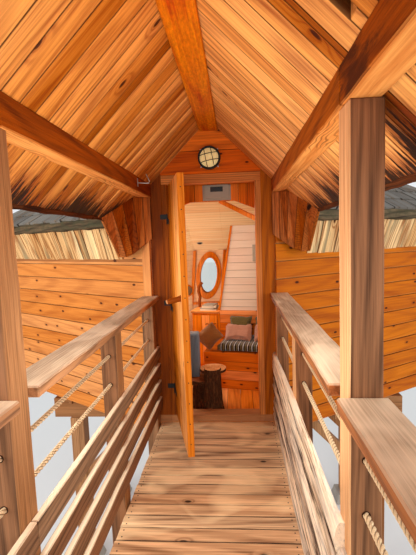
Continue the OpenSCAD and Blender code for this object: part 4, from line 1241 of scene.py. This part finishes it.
def crests():
    rng = random.Random(63)
    boards = blank()
    crest_boards(boards, *RIDGE, roof_height, rng)
    for i in range(8):
        low, peak = corner(i, ROOF_OUT, EAVE_TOP), RIDGE[1 if i < 4 else 0]
        share = (0.02 - low.y) / (peak.y - low.y) if low.y < 0.02 else 0.0
        low = between(low, peak, share)
        if i in (0, 7):
            low = between(low, peak, 0.62)
        crest_boards(boards, low, peak, roof_height, rng)
    ends = (Vector((0, y, CREST)) for y in (FRONT_END, valley(0) + 0.05))
    crest_boards(boards, *ends, walkway_height, rng)
    piece("crest_boards", boards, "shake", "shakes")


def eave_edge():
    """A rough, mossy edge timber along the foot of the cabin roof."""
    rng = random.Random(64)
    timbers = blank()
    outline = [(0.112, ROOF_LOW - 0.022), (0.172, ROOF_LOW - 0.012), (0.176, ROOF_LOW + 0.062),
        (0.146, ROOF_LOW + 0.078)]
    for i in range(7):
        plank(timbers, *mitred(i, outline), rng, edge=0.010, cuts=28, rough=0.012,
            planes=[] if 0 < i < 6 else [(Y * 0.005, -Y)])
    piece("eave_edge_timber", timbers, "mossy", "shakes")


# ---- Entry

def gable():
    sawn_piece(random.Random(51), "gable_boards", "gable_wall", "gable", "orange_pine", Z,
        (0.17, 0.21), X, 0.0015, 0.0015)


def door_frame_boards():
    rng = random.Random(50)
    timbers = blank()
    # Timbers left of the doorway get darker tones than those on the right: painted shade.
    for node, left, right in (("door_frame", 0.22, 1.00), ("corner_posts", 0.08, 0.52)):
        boards_of(timbers, node, rng, 0.002, lambda x: left if x < -0.1 else right)
    piece("door_frame_timbers", timbers, "frame", "orange_pine", "door_frame", "corner_posts")


def cheeks():
    rng = random.Random(52)
    boards, fan = blank(), solid_of("eave_cheeks")
    grain_by(fan, rng, Z, X)
    for part in parts_of(fan):
        # The left boards get darker tones: partly unweathered wood, partly painted shade.
        tone = rng.uniform(0.5, 1.0) if middle_of(part).x > 0 else rng.uniform(0.0, 0.85)
        add_board(boards, part, rng, Z, X, 0.0025, tone)
    piece("cheek_boards", boards, "cheek", "dark_timber", "eave_cheeks")


def door_leaf():
    """Five upright boards with a lipping at the free edge, framed on the back."""
    rng = random.Random(55)
    boards, screws = blank(), blank()
    x0, x1, y0, low, high, lipping = 0.0085, 0.7015, 0.005, 0.080, 1.975, 0.006
    face, back, thick, frame_w = 0.027, 0.0273, 0.045, 0.095
    width = (x1 - x0) / 5
    upright = [(x1 + APART, x1 + lipping, 0, thick, 0.0015, 0.42)]
    # The boards darken towards the hinge side: painted shade.
    for i, tone in enumerate((0.05, 0.20, 0.55, 0.85, 1.00)):
        upright.append((x0 + i * width + 0.0006, x0 + (i + 1) * width - 0.0006, 0, face, 0.0025, tone))
    # The hinge-side stile gets the darkest tone: painted shade.
    for x, tone in ((x0, 0.0), (x1 - frame_w, 0.80)):
        upright.append((x, x + frame_w, back, thick, 0.002, tone))
    for left, right, near, far, edge, tone in upright:
        block(boards, (left, y0 + near, low), (right, y0 + far, high), rng, grain="Z", edge=edge,
            tone=tone)
    inset = frame_w + APART
    for z in (low, (low + high - frame_w) / 2, high - frame_w):
        block(boards, (x0 + inset, y0 + back, z), (x1 - inset, y0 + thick, z + frame_w), rng,
            edge=0.002, tone=0.5)
    for k in range(13):
        disc(screws, (x1 + lipping, y0 + 0.022, low + 0.09 + k * 0.143), 0.0045, 0.0040, 0.0012, 10,
            turning(90, "Y"))
    for bm in (boards, screws):
        turn(bm, DOOR_TURN)
    piece("door_boards", boards, "door", "orange_pine", "door_leaf", body="door")
    piece("door_screws", screws, "iron", "black_iron", body="door")


def door_handle():
    """A peg cut from a branch, with a pale sawn end."""
    def shape(t, out, _):
        radius = 0.0182 + 0.005 * max(0, 1 - t / 0.3) ** 2 - 0.006 * max(0, t - 0.90) / 0.10
        radius += 0.0016 * noise.noise(Vector((out.x * 1.5, out.y * 1.5, t * 4)))
        place = out * radius + Z * t * 0.104
        return place, Vector((t * 0.1, place.x, place.y))
    peg = turned(28, 12, shape)
    for f in peg.faces:
        if f.calc_center_median().z > 0.095:
            f.material_index = 1
    turn(peg, DOOR_TURN @ Matrix.Translation((0.6595, 0.009, 1.1637)) @ turning(101, "X"))
    piece("peg_handle", peg, "branch cut_wood", "branch_wood", "door_handle", body="door", smooth=50)


def entry_details():
    """The hook on the left roof beam, and the screws of the lamp."""
    hook, screws = blank(), blank()
    x, y, lamp_z, lamp_r = -0.4825, -0.433, 2.190, 0.096
    rod(hook, [(x, y, 1.960), (-0.430, y, 1.955), (-0.405, y, 1.954), (-0.3985, y, 1.966),
        (-0.421, y, 2.017)], 0.0042)
    bmesh.ops.create_cube(hook, size=1.0,
        matrix=Matrix.Translation((x, y, 1.962)) @ Matrix.Diagonal((0.003, 0.022, 0.055, 1)))
    piece("beam_hook", hook, "steel", "grey_metal", smooth=40)
    for k in range(4):
        angle = math.radians(45 + 90 * k)
        disc(screws, (math.cos(angle) * lamp_r, -0.002, lamp_z + math.sin(angle) * lamp_r), 0.006,
            0.0045, 0.004, 10, turning(90, "X"))
    piece("lamp_screws", screws, "steel", "grey_metal")


# ---- Room

def room_shell():
    rng = random.Random(71)
    for made in (
            ("floor_boards", "cabin_floor", "floor", "deck_timber", X, (0.10, 0.15), Y, 0.0008, 0.0015),
            ("ceiling_boards", "ceiling", "pale", "pale_boards", Y, (0.062,), X, 0.0012, 0.001),
            ("passage_lining", "dormer_walls", "pale", "pale_boards", Z, (0.09,), Y, 0.0012, 0.001),
            ("entry_arch", "entry_bulkhead", "gable", "dark_timber", X, (0.07, 0.13), Z, 0.001, 0.002),
            ("partition_planks", "plank_partition", "white", "white_boards", Z, (0.0845,), NOOK_X,
                0.0022, 0.0015)):
        sawn_piece(rng, *made)
    slot = blank()
    block(slot, (-0.013, 0.1880, 1.944), (0.097, 0.1896, 1.988), rng, edge=0)
    piece("vent_slot", slot, "iron", "black_iron")


def seat_corner():
    """The bench, the cabinet with its three boards for a front, a twig for a latch, and books."""
    rng = random.Random(72)
    sawn_piece(rng, "bench_boards", "bench", "joinery", "orange_pine", Z, (0.0955,), NOOK_X, 0.002,
        0.002)
    cabinet = blank()
    for part in parts_of(solid_of("cabinet")):
        tall = length_of(part, Z)
        if tall < 0.05:
            add_board(cabinet, part, rng, NOOK_X, NOOK_Y, 0.003)
        elif not 0.5 < tall < 0.63:
            add_board(cabinet, part, rng, Z, NOOK_X, 0.003)
    for n in range(3):
        x0 = -0.327 + n * 0.0952
        front = blank()
        block(front, (x0, 0.0, 0.060), (x0 + 0.0942, 0.016, 0.650), rng, grain="Z", edge=0.0015)
        turn(front, NOOK)
        pour(cabinet, front)
    piece("cabinet_boards", cabinet, "cabinet", "orange_pine", "cabinet")
    latch = blank()
    rod(latch, [(-0.185, -0.004, 0.545), (-0.165, -0.020, 0.553), (-0.120, -0.022, 0.548),
        (-0.075, -0.020, 0.556), (-0.060, -0.004, 0.556)], 0.006)
    turn(latch, NOOK)
    piece("twig_latch", latch, "branch", "branch_wood", smooth=50)
    books, z = blank(), 0.7002
    for n, (wide, deep, thick, angle) in enumerate(((0.19, 0.25, 0.016, 4), (0.18, 0.24, 0.012, -6),
            (0.17, 0.22, 0.020, 9), (0.14, 0.20, 0.010, -2))):
        book = blank()
        block(book, (-wide / 2, -deep / 2, z), (wide / 2, deep / 2, z + thick), rng, edge=0.0015)
        turn(book, NOOK @ Matrix.Translation((-0.17, 0.16, 0)) @ turning(angle, "Z"))
        for f in book.faces:
            f.material_index = n % 2
        pour(books, book)
        z += thick + 0.0004
    piece("book_stack", books, "paper grey_paint", "white_boards")


def trunk(into, at, low, high, radius, top_radius, rng, flare=0.0, furrow=0.006, rings=18):
    """A length of trunk: bark round it, sawn ends with growth rings, and roots that flare."""
    seed, phase = rng.uniform(0, 90), rng.uniform(0, 6)

    def shape(t, out, angle):
        r = radius + (top_radius - radius) * t
        r += flare * max(0.0, 1 - t / 0.55) ** 2 * (0.45 + 0.55 * math.cos(4 * angle + phase)) \
            + 0.05 * radius * noise.noise(out * 1.3 + Z * (t + seed))
        ridge = noise.noise(Vector((out.x * 9 + seed, out.y * 9, t * 2.4)))
        place = out * (r + furrow * (abs(ridge) * 2 - 0.6))
        return place + Z * (low + (high - low) * t), Vector((t * (high - low), place.x, place.y))
    bm = turned(96, rings, shape)
    caps = [f for f in bm.faces if len(f.verts) > 4]
    for f in caps:
        f.material_index = 1
    bmesh.ops.inset_region(bm, faces=caps, thickness=0.004, depth=0.0)
    bmesh.ops.translate(bm, verts=bm.verts, vec=at)
    pour(into, bm)


def stump_table():
    """A low stump carries a live-edge slab; a tall log in front goes up through a slice of trunk."""
    rng = random.Random(74)
    table = blank()
    trunk(table, (-0.120, 0.370, 0), 0.0, 0.2550, 0.140, 0.112, rng, flare=0.030, furrow=0.010)
    trunk(table, (-0.050, 0.208, 0), 0.0, 0.4000, 0.078, 0.074, rng, flare=0.026, furrow=0.008,
        rings=26)
    trunk(table, (-0.048, 0.288, 0), 0.3532, 0.3760, 0.119, 0.119, rng, furrow=0.004, rings=3)
    slab = blank()
    outline = [(-300, 330), (-255, 195), (-170, 175), (-90, 190), (-15, 205), (5, 290), (-20, 395),
        (-110, 440), (-235, 450)]
    face = slab.faces.new([slab.verts.new((x / 1000, y / 1000, 0.2555)) for x, y in outline])
    bmesh.ops.translate(slab, verts=drawn(slab, [face]), vec=(0, 0, 0.025))
    bmesh.ops.recalc_face_normals(slab, faces=slab.faces)
    rim = [e for e in slab.edges if abs(e.verts[0].co.z - e.verts[1].co.z) < 0.001]
    bmesh.ops.subdivide_edges(slab, edges=rim, cuts=9, smooth=0.6)
    for v in slab.verts:
        v.co.xy += Vector((noise.noise(v.co * 22), noise.noise(v.co * 22 + X * 7))) * 0.006
        if v.co.z > 0.27:
            v.co.xy += (Vector((-0.13, 0.32)) - v.co.xy).normalized() * 0.010
    grain_by(slab, rng, X, Y, 0.4)
    for f in slab.faces:
        f.material_index = 2 if abs(f.normal.z) > 0.8 else 0
    pour(table, slab)
    piece("stump_table_wood", table, "bark cut_wood live_slab", "bark", "stump_table", smooth=35)


def heater():
    rng = random.Random(75)
    body = blank()
    block(body, (-0.268, 0.309, 0.2960), (-0.176, 0.420, 0.6906), rng, grain="Z", edge=0.008)
    block(body, (-0.264, 0.313, 0.2807), (-0.180, 0.416, 0.2965), rng, edge=0.003)
    for n in range(7):
        x = -0.2605 + n * 0.0123
        block(body, (x, 0.300, 0.315), (x + 0.006, 0.3095, 0.676), rng, grain="Z", edge=0.0018)
    for n in range(6):
        y = 0.322 + n * 0.0155
        block(body, (-0.1765, y, 0.330), (-0.1740, y + 0.009, 0.660), rng, grain="Z", edge=0.001)
    piece("heater_case", body, "enamel", "heater_metal", "heater")


# ---- Cloth

def as_seen(made):
    """The mesh of an object with its modifiers applied."""
    graph = bpy.context.evaluated_depsgraph_get()
    return bpy.data.meshes.new_from_object(made.evaluated_get(graph))


def stuffed(name, solid, voxel, pressure, cap, slim):
    """Blows a slightly slimmer solid up like a filled cover, by no more than cap at any point."""
    middle = middle_of(solid)
    for v in solid.verts:
        v.co = middle + slim(v.co - middle)
    mesh = bpy.data.meshes.new(name)
    solid.to_mesh(mesh)
    solid.free()
    body = thing(name, mesh)
    grid = body.modifiers.new("grid", "REMESH")
    grid.mode, grid.voxel_size = "VOXEL", voxel
    body.modifiers.new("even", "SMOOTH").iterations = 4
    blown = start = as_seen(body)
    body.modifiers.clear()
    body.data = start
    last = 20
    cover = body.modifiers.new("cover", "CLOTH")
    cover.settings.quality, cover.settings.mass = 6, 0.25
    cover.settings.use_pressure = True
    cover.settings.uniform_pressure_force = pressure
    cover.settings.effector_weights.gravity = 0
    cover.point_cache.frame_start, cover.point_cache.frame_end = 1, last
    for step in range(1, last + 1):
        bpy.context.scene.frame_set(step)
    blown = as_seen(body)
    for before, after in zip(start.vertices, blown.vertices):
        move = after.co - before.co
        if move.length > cap:
            after.co = before.co + move.normalized() * cap
    bpy.context.scene.frame_set(1)
    bm = blank()
    bm.from_mesh(blown)
    bpy.data.objects.remove(body)
    return bm


def weave(bm, origin=Vector()):
    """Lays the weave of a cover along the seat corner's own directions."""
    grain, back = layer(bm, "grain"), NOOK.inverted()
    for v in bm.verts:
        v[grain] = back @ v.co - origin


def cushion():
    bm = stuffed("cushion_cover", solid_of("seat_cushion"), 0.013, 2.0, 0.010,
        lambda p: Vector((p.x * 0.992, p.y * 0.975, p.z * 0.68)))
    weave(bm)
    grain, low = layer(bm, "grain"), reach(bm, Z)[0]
    for v in bm.verts:
        x, y = v[grain].x, v[grain].y
        tuft = math.cos(x * math.tau / 0.115) ** 8
        front = max(0.0, min(1.0, (-0.47 - y) / 0.06))
        v.co.z += 0.004 * noise.noise(Vector((x * 9, y * 9, 3)))
        v.co += NOOK_Y * 0.010 * tuft * front
        v.co.z = max(v.co.z, low + 0.001)
    bmesh.ops.translate(bm, verts=bm.verts, vec=(0, 0, 0.3806 - reach(bm, Z)[0]))
    made = piece("striped_cushion", bm, "stripes", "striped_fabric", "seat_cushion", smooth=180)


def pillows():
    parts = sorted(parts_of(solid_of("pillows")), key=lambda part: middle_of(part) @ NOOK_X)
    for n, part in enumerate(parts):
        centre = middle_of(part)
        middle = NOOK.inverted() @ centre
        in_corner = middle.x < 0.05
        finish = "brown" if in_corner else "olive" if middle.y > -0.18 else "pink"
        flat = max(part.faces, key=lambda f: f.calc_area()).normal.copy()

        def slim(p):
            thick = flat * p.dot(flat)
            return (p - thick) * 0.97 + thick * 0.62
        bm = stuffed(f"pillow_{n}", part, 0.0075, 6.0, 0.024, slim)
        weave(bm, middle)
        for v in bm.verts:
            if in_corner:
                v.co += NOOK_X * (0.14 * (v.co - centre).dot(NOOK_X) + 0.25 * abs(v.co.z - 0.47))
                v.co.z += 0.08 * (v.co.z - 0.38)
            else:
                v.co.z -= 0.010
        made = piece(f"pillow_{n}", bm, finish + "_cloth", "pillow_fabric",
            *([] if n else ["pillows"]), smooth=180)


def room_details():
    """A switch box on the partition, a lamp in the ceiling, a round mirror and a branch by the window."""
    rng = random.Random(77)
    box, twig = blank(), blank()
    block(box, (0.396, -0.014, 1.280), (0.480, -0.0003, 1.468), rng, edge=0.003)
    turn(box, NOOK)
    piece("switch_box", box, "grey_paint", "grey_metal")
    ceiling, wall = Vector((-0.357, 2.809, 1.492)), Vector((-0.600, 3.000, 0.735))
    down, out = Vector((0, -0.41, -0.91)).normalized(), Vector((0.54, -0.84, 0)).normalized()
    for name, at, way, size, segments, finish, slot in (
            ("ceiling_lamp_ring", ceiling + down * 0.004, down, (0.044, 0.040, 0.006), 40,
                "grey_paint", "grey_metal"),
            ("ceiling_lamp_eye", ceiling + down * 0.004, down, (0.031, 0.030, 0.009), 40,
                "iron", "black_iron"),
            ("mirror_rim", wall + out * 0.010, out, (0.100, 0.092, 0.018), 48,
                "window", "orange_pine"),
            ("mirror_glass", wall + out * 0.010, out, (0.076, 0.075, 0.022), 48,
                "mirror", "grey_metal")):
        bm = blank()
        disc(bm, at, *size, segments, towards(way))
        piece(name, bm, finish, slot, smooth=40)
    route = [(-0.335, 0.276, 0.7005), (-0.342, 0.278, 0.760), (-0.330, 0.280, 0.830),
        (-0.350, 0.282, 0.900), (-0.338, 0.284, 0.960), (-0.300, 0.288, 1.010)]
    rod(twig, [NOOK @ Vector(p) for p in route], 0.019, 14)
    piece("branch_by_the_window", twig, "branch", "branch_wood", smooth=60)


# ---- Stage

def stage():
    finish = Finish("stage_floor", 0.9)
    finish.set({"Base Color": (0.80, 0.80, 0.78, 1)})
    bm = bmesh.new()
    bmesh.ops.create_grid(bm, x_segments=1, y_segments=1, size=60)
    mesh = bpy.data.meshes.new("stage_floor")
    bm.to_mesh(mesh)
    bm.free()
    mesh.materials.append(finish.material)
    thing("stage_floor", mesh)


def lamp(name, at, aim, size, power, tint=(1, 1, 1), spread=180):
    data = bpy.data.lights.new(name, "AREA")
    data.shape, data.size, data.energy, data.color = "DISK", size, power, tint
    data.spread = math.radians(spread)
    made = thing(name, data)
    made.location = PLACE + Vector(at)
    made.rotation_mode = "QUATERNION"
    made.rotation_quaternion = (Vector(aim) - Vector(at)).to_track_quat("-Z", "Y")
    made.visible_camera = False


def lights():
    world = bpy.data.worlds.new("plain_sky")
    world.use_nodes = True
    sky = world.node_tree.nodes["Background"]
    sky.inputs["Color"].default_value = (0.93, 0.96, 1.0, 1)
    sky.inputs["Strength"].default_value = 0.9
    bpy.context.scene.world = world
    warm = (1, 0.96, 0.91)
    lamp("open_end", (0.2, -9.0, 2.2), (0, -1.0, 1.3), 3.4, 320)
    lamp("left_side", (-4.5, -3.0, 1.8), (0, -1.6, 1.5), 3.0, 175, (1, 0.97, 0.92))
    lamp("right_side", (4.5, -3.0, 1.9), (0, -1.6, 1.6), 3.0, 90)
    lamp("under_roof", (0, -2.0, 0.6), (0, -1.8, 3), 0.6, 8.5, spread=110)
    lamp("over_deck", (0, -1.90, 1.98), (0, -1.65, 0), 0.7, 6.5, spread=70)
    lamp("room_up", (-0.95, 2.0, 0.30), (-0.5, 2.0, 2), 0.8, 14, warm)
    lamp("room_down", (-0.9, 1.1, 1.25), (0.3, 0.9, 0.3), 0.8, 9, warm)
    lamp("passage", (0.05, 0.50, 1.86), (0.05, 0.62, 0.0), 0.35, 5, (1, 0.93, 0.84))


def camera():
    """The eye of the photo. Its focal length is in pixels of a picture that is 555 pixels high."""
    focal, picture, at = 393.35, 555, Vector((0.1898, -3.2072, 1.55))
    data = bpy.data.cameras.new("eye")
    data.sensor_width, data.clip_start = 36, 0.02
    data.lens = data.sensor_width * focal / picture
    eye = thing("eye", data)
    view = turning(4.17, "Z") @ turning(-5.60, "X") @ turning(2.06, "Y")
    eye.matrix_world = Matrix.Translation(PLACE + at) @ view @ turning(90, "X")
    bpy.context.scene.camera = eye


bpy.context.scene.view_settings.view_transform = "Standard"
for make in (camera, lights, stage, deck, handrails, rail_planks, rough_slabs, ropes, posts,
        roof_timbers, walkway_roof, eave_strips, door_frame_boards, walkway_shakes, siding,
        window_siding, wall_trim, band, cabin_shakes, crests, eave_edge, gable, cheeks, door_leaf,
        door_handle, entry_details, room_shell, seat_corner, stump_table, heater, cushion, pillows,
        room_details):
    make()

for nodes, finish, edge in (
        ("cabin_stilts stilt_braces", "stilt", 0.006), ("cabin_beams", "bearer", 0.004),
        ("walkway_beams", "walk_beam", 0.004), ("footings", "stone", 0.008),
        ("door_hinges frame_hinges lamp_body lamp_cage", "iron", 0),
        ("front_walls side_walls back_walls window_wall", "lining", 0), ("cabin_roof", "bearer", 0),
        ("window_frames", "window", 0.003), ("room_timbers", "window", 0.002),
        ("window_glass", "glass", 0), ("lamp_glass", "lamp_glass", 0), ("vent_box", "grey_paint", 0.002)):
    for node in nodes.split():
        dress(node, finish, edge)
